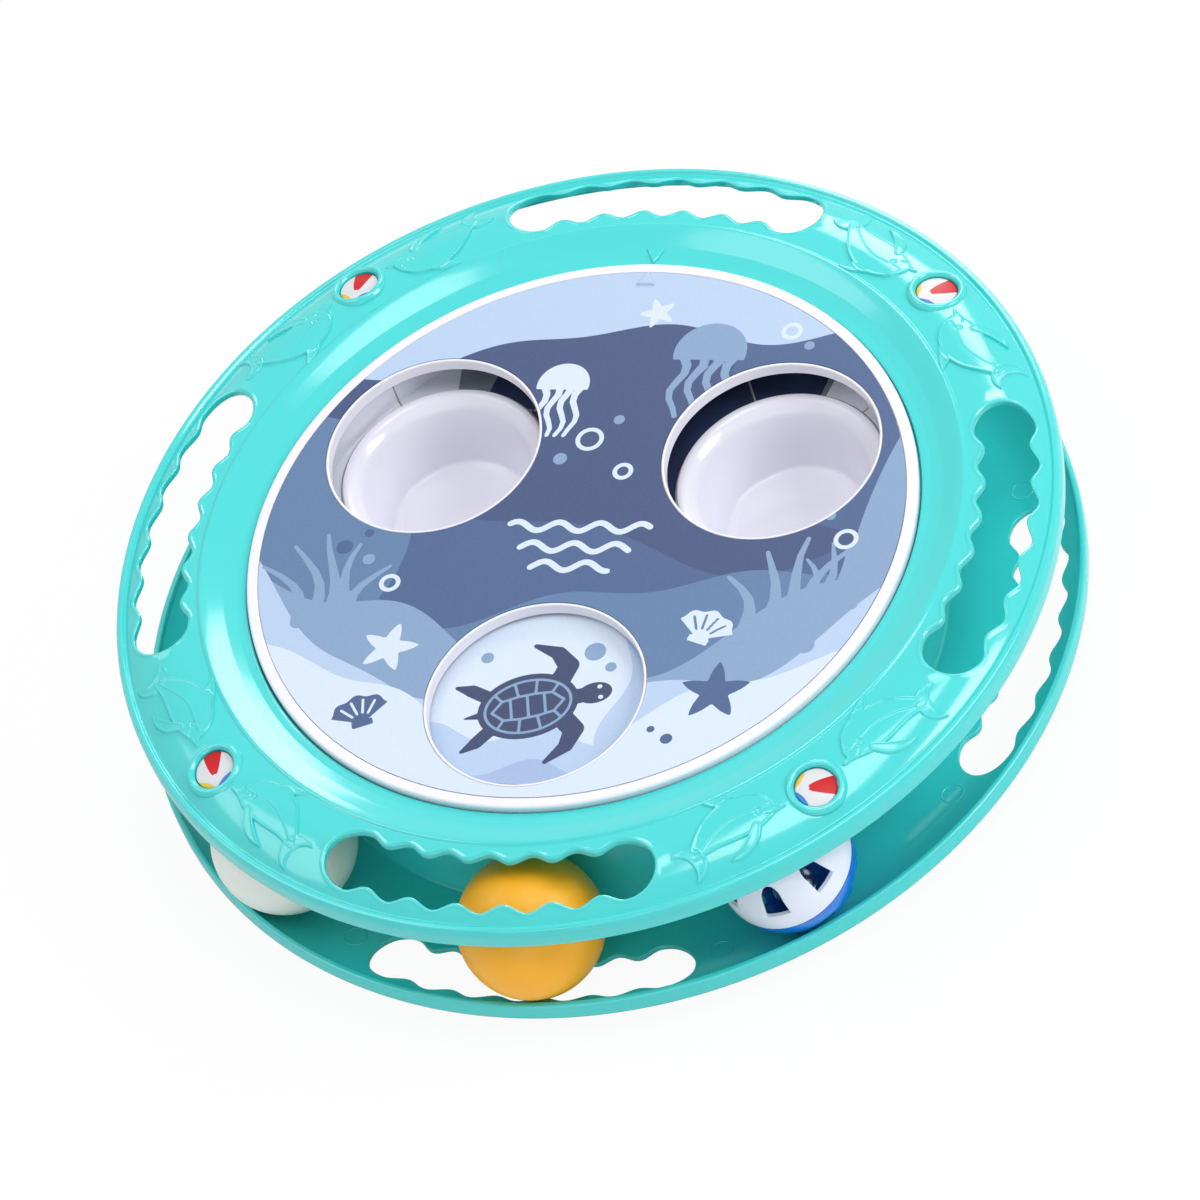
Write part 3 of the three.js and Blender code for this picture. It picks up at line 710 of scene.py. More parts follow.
def seabed(x: Array, y: Array) -> dict[str, Array]:
    """Draws the lid's print: swells below, open water above, and small things of the shore.

    Each swell is a wavy line across the lid, y = level + sum of sines of x + rise times x squared,
    filled below it. A motif is the largest of its shapes' distances.

    Args:
        x: places across the lid, in millimetres.
        y: places towards the alignment arrow.

    Returns:
        A distance for each ink's mark.
    """
    def swell(level: float, rise: float, *waves: tuple[float, float, float]) -> Array:
        """Gives the distance below a wavy line.

        Args:
            level: the line's height in the middle.
            rise: what it gains 90 mm out.
            waves: a height, a pace and a start for each wave.

        Returns:
            The distance.
        """
        line = level + rise * (x / 90) ** 2
        for height, pace, start in waves:
            line = line + height * np.sin(pace * x + start)
        return (line - y) * 0.8

    draw = Draw(x, y)
    crest = y - (66 + 5 * np.sin(0.05 * x + 2.0) + 2 * np.sin(0.12 * x) + 0.12 * x)
    deep = np.maximum(swell(-8, 20, (12, 0.03, 2.6), (4, 0.075, 1.0)), draw.oval(66, 42, 30, 44, 30))
    slate = np.maximum(swell(-30, 36, (9, 0.045, 0.6), (3, 0.11, 2.0)), draw.oval(-85, -4, 37, 42, 12))
    mist = np.maximum(swell(-45, 30, (8, 0.05, 3.9), (3, 0.12, 0.4)), draw.oval(92, 12, 12, 46, -8))
    pale = np.maximum(swell(-57, 36, (7, 0.06, 1.2), (2.5, 0.14, 2.2)), crest * 0.8)
    foam = swell(-70, 38, (6, 0.065, 4.6), (2, 0.16, 1.0))

    grass = [draw.tuft(63, -38, 36, 0.12), draw.tuft(76, -24, 24, 0.2),
             draw.tuft(-66, -34, 30, -0.14)]

    def tails(left: float, gap: float, sway: float, top: float, fall: float, wide: float,
              thin: float) -> list[Array]:
        """Draws four wavy tails side by side, each thinner downwards."""
        return [draw.stroke([(left + gap * i + sway * math.sin(k * 1.1 + i), top - fall * k,
                              wide - thin * k) for k in range(8)]) for i in range(4)]

    bell_top = np.minimum(draw.disc(24, 62, 10.5), y - 59.5)
    bell_low = np.minimum(draw.disc(-16, 50, 7.6), y - 48.4)
    ripples = [draw.stroke([(wide + k, row + 1.5 * math.sin(k * 0.53 + row), 0.95)
                            for k in range(count)])
               for row, wide, count in ((0.5, -20, 41), (-6.5, -15.5, 32), (-13.0, -11, 23))]
    rings = [draw.hoop(*ring, 1.3) for ring in (
        (-4, 31, 3.4), (46, 70, 2.4), (-50, -20, 2.4), (76, -2, 2.8), (8, 20, 2.3))]
    beads = [draw.disc(*bead) for bead in (
        (-11, 24, 2.0), (3, 38, 1.6), (-58, -12, 1.8), (70, 6, 1.6), (52, 65, 1.5))]
    dark_beads = [draw.disc(cx, cy, radius)
                  for cx, cy, radius in ((-66, -8, 2.4), (-60, -3, 1.4), (40, -70, 1.7), (35, -67, 1.1))]
    dark = np.maximum.reduce([draw.star(50, -54, 10, 20), draw.shell(-48, -64, 7.4, 24), *dark_beads])
    pale_motif = np.maximum.reduce([
        draw.star(-45, -42, 8.6, 80), draw.shell(43, -33, 7.6, -18), draw.star(6, 76, 5.6, 40),
        bell_low, *tails(-21, 3.4, 1.2, 49, 2.4, 1.05, 0.06), *ripples, *rings])
    mist_motif = np.maximum.reduce([*grass, bell_top, *tails(16.8, 4.8, 1.7, 60.5, 3.0, 1.35, 0.09), *beads])
    return {"deep": deep, "slate": slate, "mist": mist, "pale": pale, "foam": foam, "dark_motif": dark,
            "mist_motif": mist_motif, "pale_motif": pale_motif}


def turtle(x: Array, y: Array) -> dict[str, Array]:
    """Draws the front cell's picture: a sea turtle seen from above over two pale swells.

    Args:
        x: places across the picture's middle, in millimetres.
        y: places towards the lid's axis.

    Returns:
        A distance for each ink's mark.
    """
    page = Draw(x, y)
    u, v = page.about(0, 0, 16)
    top, both = Draw(u + 3, v), Draw(u + 3, np.abs(v))
    shell = top.oval(0, 0, 14, 10.8)
    limbs = [both.stroke(path) for path in (
        ((9, 6, 3.0), (12, 11, 2.9), (9.5, 16, 2.2), (3.5, 20, 0.7)),
        ((-10, 5, 2.1), (-15, 9, 2.0), (-19, 11, 0.6)), ((-12, 0, 1.5), (-17.5, 0, 0.3)))]
    head = np.maximum(top.oval(18.5, 0, 4.8, 3.5), top.stroke([(12, 0, 2.6), (17, 0, 2.4)]))
    rim = np.minimum(shell, 0.4 - np.abs(shell - 2.1))
    lines = [both.stroke(path) for path in (
        ((-10, 0, 0.4), (-7, 3.2, 0.4), (-2.4, 3.8, 0.4), (2.4, 3.8, 0.4), (7, 3.2, 0.4), (10, 0, 0.4)),
        ((-4.7, 0, 0.4), (-4.7, 3.4, 0.4)), ((0, 0, 0.4), (0, 3.8, 0.4)), ((4.7, 0, 0.4), (4.7, 3.4, 0.4)),
        ((-7, 3.2, 0.4), (-9.4, 6.6, 0.4)), ((-2.4, 3.8, 0.4), (-3.2, 9, 0.4)),
        ((2.4, 3.8, 0.4), (3.2, 9, 0.4)), ((7, 3.2, 0.4), (9.4, 6.6, 0.4)))]
    plates = np.minimum(np.maximum.reduce(lines), shell - 2.0)
    eyes = both.disc(20, 1.8, 0.7)
    low = (-10 + 3 * np.sin(0.2 * x + 1) - y) * 0.8
    bubbles = [page.disc(12, 18, 3.0), page.disc(17.5, 13, 1.6), page.disc(-18, 15, 1.8)]
    return {"slate": np.maximum(low, (x - 21 - 3 * np.sin(0.16 * y)) * 0.9), "mist": low - 9,
            "dark_motif": np.maximum.reduce([shell, head, *limbs]),
            "mist_motif": np.maximum.reduce([rim, plates, *bubbles]), "pale_motif": eyes}


def beach_ball(x: Array, y: Array, turn: float) -> dict[str, Array]:
    """Draws a beach ball on a disc of radius 1: a broad red band in front, two slivers behind.

    Every band starts near a pole that lies off the middle, opposite the red. The red one widens
    along curved sides to the rim; the others are seen edge on, so they are slivers at the rim.

    Args:
        x: places across the disc.
        y: places up the disc.
        turn: which way the red band points.

    Returns:
        A distance for each ink's mark, in fifths of the radius.
    """
    pole = 0.4
    u, v = Draw(x, y).about(0, 0, turn)
    u = u + pole
    out = np.hypot(u, v)
    red = np.minimum(0.44 * np.sqrt(np.clip(u, 0, None)) - np.abs(v), out - 0.09)
    lean = np.degrees(np.arctan2(v, u - pole))
    from_middle = np.hypot(x, y)
    marks = {"red": np.where(u > 0, red, -out) * 5}
    for name, middle in (("yellow", 146), ("blue", -146)):
        gap = (lean - middle + 180) % 360 - 180
        marks[name] = np.minimum(from_middle - 0.77 - 0.16 * (gap / 27) ** 2, (27 - np.abs(gap)) * 0.016) * 5
    return marks


# The two discs and the band between their slots


@dataclass
class BallTrack:
    """The sizes that both discs share: the arched band over the track, the rim and the slots."""

    middle: float = 113.7
    mid_z: float = 26.8
    ceiling: float = 49.6
    wall: float = 2.0
    arch: float = 23.9
    rim_in: float = 130.76
    rim_out: float = 132.46
    rim_z: float = 40.3
    slot_middle: float = 118.55
    slot_half: float = 7.05
    scallop: float = 1.1
    pitch: float = 6.05
    scallops: int = 6
    cap: float = 4.4
    fillet: float = 0.6
    lip: float = 0.24
    medal_ring: float = 119.5
    crowd: tuple[float, ...] = (0, 0.05, 0.13, 0.24, 0.37, 0.52, 0.68, 0.84, 1.1)
    angles: Array = field(init=False)
    inner: Array = field(init=False)
    outer: Array = field(init=False)
    open: Array = field(init=False)
    relative: Array = field(init=False)

    def __post_init__(self) -> None:
        """Works out the columns round the disc and the slot's edges at each.

        A quarter turn has its slot in the middle. Columns follow the scallops, crowd round the
        slot's ends by a cosine and thin out between slots, but for the medallion's place.
        """
        half = self.scallops * self.pitch / 2
        tip = half + self.cap
        straight = np.linspace(0, half, steps(39) // 3 * 3 + 1)
        cap_turn = np.linspace(90, 0, steps(12) + 1)[1:]
        caps = half + self.cap * np.cos(np.radians(cap_turn))
        beyond = tip + np.array([0.03, 0.08, 0.14, 0.21, 0.3, 0.42, 0.6])
        plain = np.linspace(tip + 0.6, 40.8, steps(10) + 1)[1:]
        medal = np.linspace(40.8, 45, steps(9) + 1)[1:]
        side = np.concatenate([straight, caps, beyond, plain, medal])
        quarter = np.concatenate([-side[:0:-1], side])[1:]
        wave = self.slot_half + self.scallop * np.cos(2 * np.pi * straight / self.pitch)
        reach = (self.slot_half + self.scallop) * np.sin(np.radians(cap_turn))
        rest = np.full(len(side) - len(straight) - len(caps), self.slot_middle)
        inner_side = np.concatenate([self.slot_middle - wave, self.slot_middle - reach, rest])
        outer_side = np.concatenate([self.slot_middle + wave, self.slot_middle + reach, rest])
        mirrored = [np.concatenate([edge[:0:-1], edge])[1:] for edge in (inner_side, outer_side)]
        self.relative = np.tile(quarter, 4)
        self.angles = np.concatenate([quarter + turn for turn in (0, 90, 180, 270)])
        self.inner, self.outer = (np.tile(edge, 4) for edge in mirrored)
        self.open = self.outer - self.inner > 1e-6

    def skin(self, r: Array) -> Array:
        """Gives the band's outer height: flat inside the track's middle, a circle outside it."""
        out = np.clip(r - self.middle, 0, self.arch + self.wall - 0.01)
        return self.ceiling - self.arch + np.sqrt((self.arch + self.wall) ** 2 - out**2)

    def under(self, r: Array) -> Array:
        """Gives the band's inner height over the track, a circle one wall smaller."""
        out = np.clip(r - self.middle, 0, self.arch - 0.01)
        return self.ceiling - self.arch + np.sqrt(self.arch**2 - out**2)

    def edge_distance(self, r: Array) -> Array:
        """Gives each place's distance to its slot's outline, which the columns' edges draw.

        Args:
            r: radii, rows by columns, at the columns' angles.

        Returns:
            The distances, and 9 where no slot is near.
        """
        count = len(self.angles) // 4
        turn = np.radians(self.relative[:count])
        near = np.abs(self.relative[:count]) < self.scallops * self.pitch / 2 + self.cap + 0.7
        ends = []
        for edge in (self.inner[:count], self.outer[:count]):
            used = near & (self.open[:count] | np.roll(self.open[:count], 1) | np.roll(self.open[:count], -1))
            ends.append(np.stack([edge[used] * np.cos(turn[used]), edge[used] * np.sin(turn[used])], axis=1))
        starts = np.concatenate([line[:-1] for line in ends])
        stops = np.concatenate([line[1:] for line in ends])
        x = (r[:, :count] * np.cos(turn))[:, near, None]
        y = (r[:, :count] * np.sin(turn))[:, near, None]
        along = stops - starts
        length = np.maximum((along**2).sum(axis=1), 1e-12)
        t = np.clip(((x - starts[:, 0]) * along[:, 0] + (y - starts[:, 1]) * along[:, 1]) / length, 0, 1)
        gap = np.hypot(x - starts[:, 0] - t * along[:, 0], y - starts[:, 1] - t * along[:, 1]).min(axis=2)
        whole = np.full((len(r), count), 9.0)
        whole[:, near] = gap
        return np.tile(whole, (1, 4))

    def drop(self, distance: Array, radius: float) -> Array:
        """Gives how far a rounded edge of a radius falls at a distance from the edge."""
        back = np.clip(radius - distance, 0, radius)
        return radius - np.sqrt(radius**2 - back**2)

    def pocket(self, r: Array) -> Array:
        """Gives how far the skin sinks under a medallion, hidden below its bezel.

        Args:
            r: radii.

        Returns:
            The depth there.
        """
        from_diagonal = np.radians(45 - np.abs(self.relative))
        x, y = r * np.cos(from_diagonal) - self.medal_ring, r * np.sin(from_diagonal)
        return 1.3 * smooth(7.3, 6.4, np.hypot(x, y))

    def top_rows(self, edge: Array, end: float, count: int) -> Array:
        """Gives the radii of rows from a slot's edge to a fixed circle, crowded at the edge.

        Args:
            edge: the edge's radius at each column.
            end: the circle's radius.
            count: the rows past the crowded ones.

        Returns:
            Radii, rows by columns.
        """
        way = np.sign(end - self.slot_middle)
        crowd = np.array(self.crowd)[:, None]
        close = edge + way * crowd
        t = np.linspace(0, 1, count + 1)[1:, None]
        return np.concatenate([close, close[-1:] + (end - close[-1:]) * t])

    def skin_grid(self, edge: Array, end: float, count: int) -> Array:
        """Gives the skin from a slot's rounded edge and its lip to a circle, as radius and height.

        Args:
            edge: the edge's radius at each column.
            end: the circle's radius.
            count: the rows past the crowded ones.

        Returns:
            Radius and height for each row and column.
        """
        r = self.top_rows(edge, end, count)
        gap = self.edge_distance(r)
        lip = self.lip * np.exp(-(((gap - 0.85) / 0.34) ** 2))
        z = self.skin(r) - self.drop(gap, self.fillet) - self.pocket(r) + lip
        return np.stack([r, z], axis=-1)

    def under_grid(self, edge: Array, end: float, count: int) -> Array:
        """Gives the inside from a circle back to a slot's edge as radius and height.

        Args:
            edge: the edge's radius at each column.
            end: the circle's radius.
            count: the rows past the crowded ones.

        Returns:
            Radius and height for each row and column.
        """
        r = self.top_rows(edge, end, count)[::-1]
        gap = self.edge_distance(r)
        return np.stack([r, self.under(r) + self.drop(gap, self.fillet / 2)], axis=-1)

    def fixed(self, profile: Array) -> Array:
        """Repeats a profile at every column."""
        return np.repeat(profile[:, None], len(self.angles), axis=1)

    def rim_profile(self) -> Array:
        """Gives the rim from the valley beside its ridge, round its outside, to its inner corner.

        Returns:
            The points, as radius and height.
        """
        valley = self.rim_out - 2.8
        start, base = float(self.skin(valley - 0.8)), float(self.skin(valley))
        return rounded([(valley - 0.8, start), (valley, base, 0.5), (valley + 0.85, base + 0.9, 0.5),
                        (self.rim_out - 0.75, base + 0.7, 0.7), (self.rim_out, base - 0.9, 1.2),
                        (self.rim_out, self.rim_z, 0.7), (self.rim_in, self.rim_z, 0.35),
                        (self.rim_in, float(self.under(self.rim_in)))], 4)

    def band(self, inside: Array, inner_count: int, flip: bool = False) -> Surface:
        """Builds a disc: its closed inner part and its closed outer part, joined between slots.

        Args:
            inside: the fixed profile from the band's flat inner end round to the ceiling.
            inner_count: the skin's rows inside the slots.
            flip: whether the disc is the lower one, mirrored about the middle.

        Returns:
            The surface.
        """
        surface = Surface()
        parts = ((self.inner, inside, inner_count), (self.outer, self.rim_profile(), 12))
        for edge, profile, count in parts:
            top = self.skin_grid(edge, float(profile[0, 0]), steps(count))
            low = self.under_grid(edge, float(profile[-1, 0]), steps(6))
            loop = np.concatenate([top, self.fixed(profile[1:-1]), low])
            keep = np.ones((len(loop), len(self.angles)), bool)
            keep[-1] = self.open | np.roll(self.open, -1)
            r, z = np.moveaxis(looped(loop), -1, 0)
            surface.add(around(r, self.angles[None], 2 * self.mid_z - z if flip else z), wrap=True, keep=keep)
        return surface


@dataclass
class Housing:
    """The two discs, the screws, the feet, the bezels and the relief on the band."""

    track: BallTrack
    finishes: Finishes
    recess: float = 94.5
    shoulder: float = 106.9
    drum: float = 92.5
    drum_inside: float = 90.7
    floor_under: float = 2.0
    floor_top: float = 4.0
    screw_ring: float = 85.0
    screw_angles: tuple[float, ...] = (0, 60, 120, 180, 240, 300)
    medal_angles: tuple[float, ...] = (45, 135, 225, 315)
    ball_turns: tuple[float, ...] = (-9, -47, -116, 61)
    foot_ring: float = 103.0
    relief_ring: float = 118.0
    pin_ring: float = 117.5
    arrow_ring: float = 98.0

    def build(self) -> None:
        """Builds every piece of the housing but the tray."""
        self.upper_ring()
        self.lower_disc()
        self.medallions()
        self.relief()
        self.pin_marks()
        self.arrow()
        self.screws()
        self.feet()

    def moulded(self, name: str, surface: Surface, nodes: Sequence[str] = (), crease: float = 35) -> None:
        """Makes a piece of the housing in its aqua plastic."""
        piece(name, surface, self.finishes.aqua, Body.HOUSING, nodes, crease)

    def upper_ring(self) -> None:
        """Builds the upper disc: a shoulder, a hollow gutter, a recess with a ledge, and a skirt."""
        shoulder, recess = self.shoulder, self.recess
        gutter = [(shoulder, 52.25, 1.2), (104.2, 51.15, 3), (100.4, 49.55, 5), (97.2, 48.75, 3),
                  (recess, 48.5, 0.6)]
        inside = rounded([(108.2, 51.6), (107.75, 51.6, 0.4), *gutter,
                          (recess, 46.3, 0.4), (87, 46.3, 0.4), (87, 44.3, 0.3), (88.6, 44.3), (88.6, 37.5),
                          (90.4, 37.5), (90.4, 44.3), (96.5, 44.3), (96.5, 46.5, 1), (shoulder, 49.6)], 3)
        surface = self.track.band(inside, 11)
        boss = rounded([(1.9, 37.5), (4.5, 37.5, 0.3), (4.5, 45.3, 0.2), (1.9, 45.3), (1.9, 37.5)], 3)
        for angle in self.screw_angles:
            surface.add(turned(boss, steps(40), spot(self.screw_ring, angle)), wrap=True)
        self.moulded("upper_disc", surface, ["upper_ring"])

    def lower_disc(self) -> None:
        """Builds the lower disc: the upper one's band mirrored, a floor, a drum and six screw posts."""
        mirrored = [(107.9, 51.6), (93.0, 51.6), (self.drum_inside, 51.6), (self.drum_inside, 9.6),
                    (self.drum, 9.6), (self.drum, 49.6, 0.8), (107.0, 49.6)]
        surface = self.track.band(rounded(mirrored, 4), 11, flip=True)
        self.floor(surface)
        self.moulded("lower_disc_shell", surface, ["lower_disc"])

    def floor(self, surface: Surface) -> None:
        """Adds the floor inside the drum, with each screw's well let into it from below.

        A polar grid leaves out a block of cells at each screw. The block's outline is joined to the
        well's circle by straight rows, and the well and its post are one turned profile.

        Args:
            surface: the lower disc's surface.
        """
        under, top = self.floor_under, self.floor_top
        radii = np.array([0.001, 20, 45, 65, 75, 79, 82, 85, 88, self.drum_inside])
        per, low, high, reach = 24, 4, 8, 3
        middle = per // 2
        angles = np.linspace(0, 360, per * 6, endpoint=False) - 30
        row, column = np.arange(len(radii) - 1)[:, None], np.arange(per * 6) % per
        hole = (row >= low) & (row < high) & (column >= middle - reach) & (column < middle + reach)
        well, post = 3.6, 5.5
        profile = rounded([(well, under), (well, 31.4, 0.2), (1.9, 31.4), (1.9, 34.9), (post, 34.9, 0.3),
                           (post, top)], 3)
        for z in (under, top):
            surface.add(around(radii[:, None], angles[None], z), wrap=True, keep=~hole)
        edge = around(self.drum_inside, angles, under)
        surface.add(np.stack([edge, edge + [0, 0, top - under]]), wrap=True)
        for k, screw_angle in enumerate(self.screw_angles):
            near = angles[k * per + middle - reach:k * per + middle + reach + 1]
            ring = [(radii[low], a) for a in near] + [(r, near[-1]) for r in radii[low + 1:high + 1]]
            ring += [(radii[high], a) for a in near[-2::-1]] + [(r, near[0]) for r in radii[high - 1:low:-1]]
            outline = around(*np.array(ring).T, 0.0)
            centre = around(self.screw_ring, screw_angle, 0.0)
            turn = np.arctan2(*(outline - centre)[:, 1::-1].T)
            circle = level(np.cos(turn), np.sin(turn), 0.0)
            t = np.linspace(0, 1, 4)[:, None, None]
            for z, radius in ((under, well), (top, post)):
                surface.add((centre + circle * radius) * (1 - t) + outline * t + [0, 0, z], wrap=True)
            surface.add(profile[:, None, :1] * circle + centre + [0, 0, 1] * profile[:, None, 1:], wrap=True)

    def medal_place(self, angle: float) -> Matrix:
        """Gives the place of a medallion: square to the skin, 0.7 mm under it.

        Args:
            angle: where it stands round the toy, in degrees.

        Returns:
            The place.
        """
        ring = self.track.medal_ring
        tilt = math.asin((ring - self.track.middle) / (self.track.arch + self.track.wall))
        height = float(self.track.skin(np.array(ring))) - 0.7
        return (Matrix.Rotation(math.radians(angle), 4, "Z") @ Matrix.Translation((ring, 0, height))
                @ Matrix.Rotation(tilt, 4, "Y"))

    def medallions(self) -> None:
        """Builds the four bezels and the printed discs in them."""
        bezels = Surface()
        section = rounded([(5.9, -1.6), (5.9, 0.5, 0.3), (6.5, 1.45, 0.8), (7.6, 1.35, 1.0), (8.3, 0.2, 0.5),
                           (8.5, -1.6)], 6)
        rim, face_r = 5.6, 5.2
        edge = rounded([(face_r, 0.12), (5.45, 0.07, 0.2), (rim, -0.1, 0.1), (rim, -0.5), (0.001, -0.5)], 5)
        out = np.linspace(0.001, face_r, steps(44))
        dome = np.stack([out, 0.52 - 0.4 * (out / face_r) ** 2], axis=1)
        flat = turned(np.concatenate([dome, edge[1:]]), steps(200))
        for number, (angle, ball_turn) in enumerate(zip(self.medal_angles, self.ball_turns), 1):
            place = self.medal_place(angle)
            bezels.add(turned(looped(section), steps(96), place), wrap=True)
            marks = beach_ball(flat[..., 0] / rim, flat[..., 1] / rim, ball_turn)
            face = Surface(tuple(marks)).add(moved(flat, place), wrap=True, **marks)
            piece(f"beach_ball_disc_{number}", face, self.finishes.medallion, Body.HOUSING,
                  [f"medallion_{number}"])
        self.moulded("medallion_bezels", bezels)

    def relief(self) -> None:
        """Builds leaping dolphins in low relief, one on each side of every medallion."""
        ring = self.relief_ring
        u, v = np.meshgrid(np.linspace(8.4, 44, steps(224)), np.linspace(-11.2, 10.8, steps(140)))
        height = leaping_dolphin(u, v)
        for number, angle in enumerate(self.medal_angles, 1):
            surface = Surface()
            for side in (-1, 1):
                add_plate(surface, height, lambda h: around(
                    ring + v, angle + side * np.degrees(u / ring), self.track.skin(ring + v) + h))
            self.moulded(f"dolphin_relief_{number}", surface, crease=60)

    def pin_marks(self) -> None:
        """Builds the faint rings that the mould's pins left inside the lower disc, beside its slots."""
        surface, ring = Surface(), self.pin_ring
        u, v = square(3.6, 60)
        height = swollen(Draw(u, v).hoop(0, 0, 3.1, 0.5), 0.13, 0.25)
        for angle in (0, 90, 180, 270):
            for side in (-26.2, 26.2):
                add_plate(surface, height, lambda h: around(
                    ring + v, angle + side + np.degrees(u / ring),
                    2 * self.track.mid_z - self.track.under(ring + v) + h))
        self.moulded("mould_pin_marks", surface, crease=60)

    def arrow(self) -> None:
        """Builds the alignment arrow on the gutter, one corner towards the axis."""
        surface, ring = Surface(), self.arrow_ring
        x, y = square(3.6, 72)
        slope = np.interp(ring + y, [94.5, 97.2, 100.4, 104.2], [48.5, 48.75, 49.55, 51.15])
        add_plate(surface, triangle_plate(x, -y), lambda h: level(x, ring + y, slope + h))
        self.moulded("gutter_arrow", surface, crease=60)

    def screws(self) -> None:
        """Builds the six housing screws, heads down in their wells."""
        profile = rounded([(0.001, 29.3), (1.6, 29.3, 0.3), (3.2, 30.0, 0.5), (3.2, 31.1, 0.2), (1.5, 31.1),
                           (1.5, 42.6, 0.4), (0.001, 44.0)], 4)
        for number, angle in enumerate(self.screw_angles, 1):
            surface = Surface().add(turned(profile, steps(40), spot(self.screw_ring, angle)), wrap=True)
            piece(f"long_screw_{number}", surface, self.finishes.steel, Body.HOUSING,
                  [f"housing_screw_{number}"])

    def feet(self) -> None:
        """Builds the four pads under the lower disc."""
        profile = rounded([(0.001, 0), (7, 0, 0.8), (7, 1.7, 0.2), (0.001, 1.7)], 5)
        for number, angle in enumerate(self.medal_angles, 1):
            surface = Surface().add(turned(profile, steps(64), spot(self.foot_ring, angle)), wrap=True)
            piece(f"pad_{number}", surface, self.finishes.rubber, Body.HOUSING, [f"foot_{number}"])


def add_plate(surface: Surface, height: Array, place: Callable[[Array], Array], **marks: Array) -> None:
    """Adds a thin closed plate whose top has a height field and whose edge is sunk in its carrier.

    Args:
        surface: where it goes.
        height: the top's height over the carrier; below -0.2 there is no plate.
        place: turns an array of heights into points on the carrier.
        marks: an array for each named value.
    """
    floor = -0.2
    solid = height > floor
    keep = solid[:-1, :-1] | solid[:-1, 1:] | solid[1:, :-1] | solid[1:, 1:]
    surface.add(place(np.maximum(height, floor)), keep=keep, **marks)
    surface.add(place(np.full(height.shape, floor)), keep=keep, **marks)


def swollen(distance: Array, rise: float, edge: float) -> Array:
    """Rounds a shape's edge into a height: a quarter circle over the edge's width, then level."""
    t = np.clip(distance / edge, 0, 1)
    return np.where(distance > 0, rise * np.sqrt(1 - (1 - t) ** 2), np.maximum(distance * 2, -0.3))


def triangle_plate(x: Array, y: Array) -> Array:
    """Gives the height of a raised triangle with a rounded steep edge, one corner towards +y."""
    sides = [x * math.sin(t) + y * math.cos(t) for t in np.radians([60, 180, 300])]
    return swollen(1.6 - np.max(sides, axis=0), 0.7, 0.5)


def leaping_dolphin(u: Array, v: Array) -> Array:
    """Gives the relief's height: a plump body, its raised back, a fin, a flipper and crescent flukes.

    A part is level inside, falls steeply over its edge and has a bead beside it, a bell curve of
    its distance. The back lies on the body, the flipper over both, and the eye is a groove.

    Args:
        u: the way along the band from the medallion's middle, in millimetres.
        v: the way outward from the band's middle.

    Returns:
        The height over the skin.
    """
    def part(distance: Array, rise: float) -> Array:
        """Gives a part's height: level, with a bead beside its edge."""
        bead = 0.2 * np.exp(-(((distance - 0.42) / 0.3) ** 2))
        return np.where(distance > 0, rise * smooth(0, 0.3, distance) + bead, np.maximum(distance * 3, -0.3))

    draw = Draw(u, v)
    body = draw.stroke(Draw.curve([
        (9.6, 1.5, 0.55), (12.2, 0.9, 1.3), (14.6, -0.6, 3.4), (18.2, -1.7, 5.6), (22.6, -2.0, 6.3),
        (27.0, -1.2, 5.4), (30.8, 0.4, 3.9), (34.0, 2.4, 2.5), (36.0, 3.9, 1.6)]))
    fin = draw.stroke(Draw.curve([(21.5, -6.4, 2.4), (25.0, -8.6, 1.7), (29.0, -10.6, 0.35)]))
    body = np.maximum(body, fin)
    back = draw.stroke(Draw.curve([
        (13.6, -1.9, 1.2), (17.4, -4.6, 3.4), (22.4, -5.4, 3.7), (27.4, -4.0, 3.3), (31.6, -1.2, 2.5),
        (35.2, 2.2, 1.6)]))
    back = np.minimum(back, body)
    flukes = np.minimum(draw.disc(38.4, 5.6, 5.0), -draw.disc(42.0, 7.6, 4.9))
    flipper = draw.stroke(Draw.curve([
        (18.4, 3.0, 1.3), (21.0, 5.8, 1.6), (24.6, 7.8, 1.2), (27.8, 8.6, 0.3)]))
    height = np.maximum(part(body, 0.42), part(flukes, 0.42))
    back_rise = 0.16 * smooth(0, 0.25, back) + 0.1 * np.exp(-(((back - 0.3) / 0.25) ** 2))
    height = height + back_rise * (body > 0)
    height = np.maximum(height, part(flipper, 0.6))
    for groove in (draw.stroke(Draw.curve([(9.4, 2.2, 0), (12.6, 2.4, 0), (15.0, 1.2, 0)])),
                   -np.abs(np.hypot(u - 16.6, v + 0.6) - 0.75)):
        height = height - 0.26 * np.exp(-((groove / 0.24) ** 2)) * (height > 0.25)
    return height


# Plates with three round holes


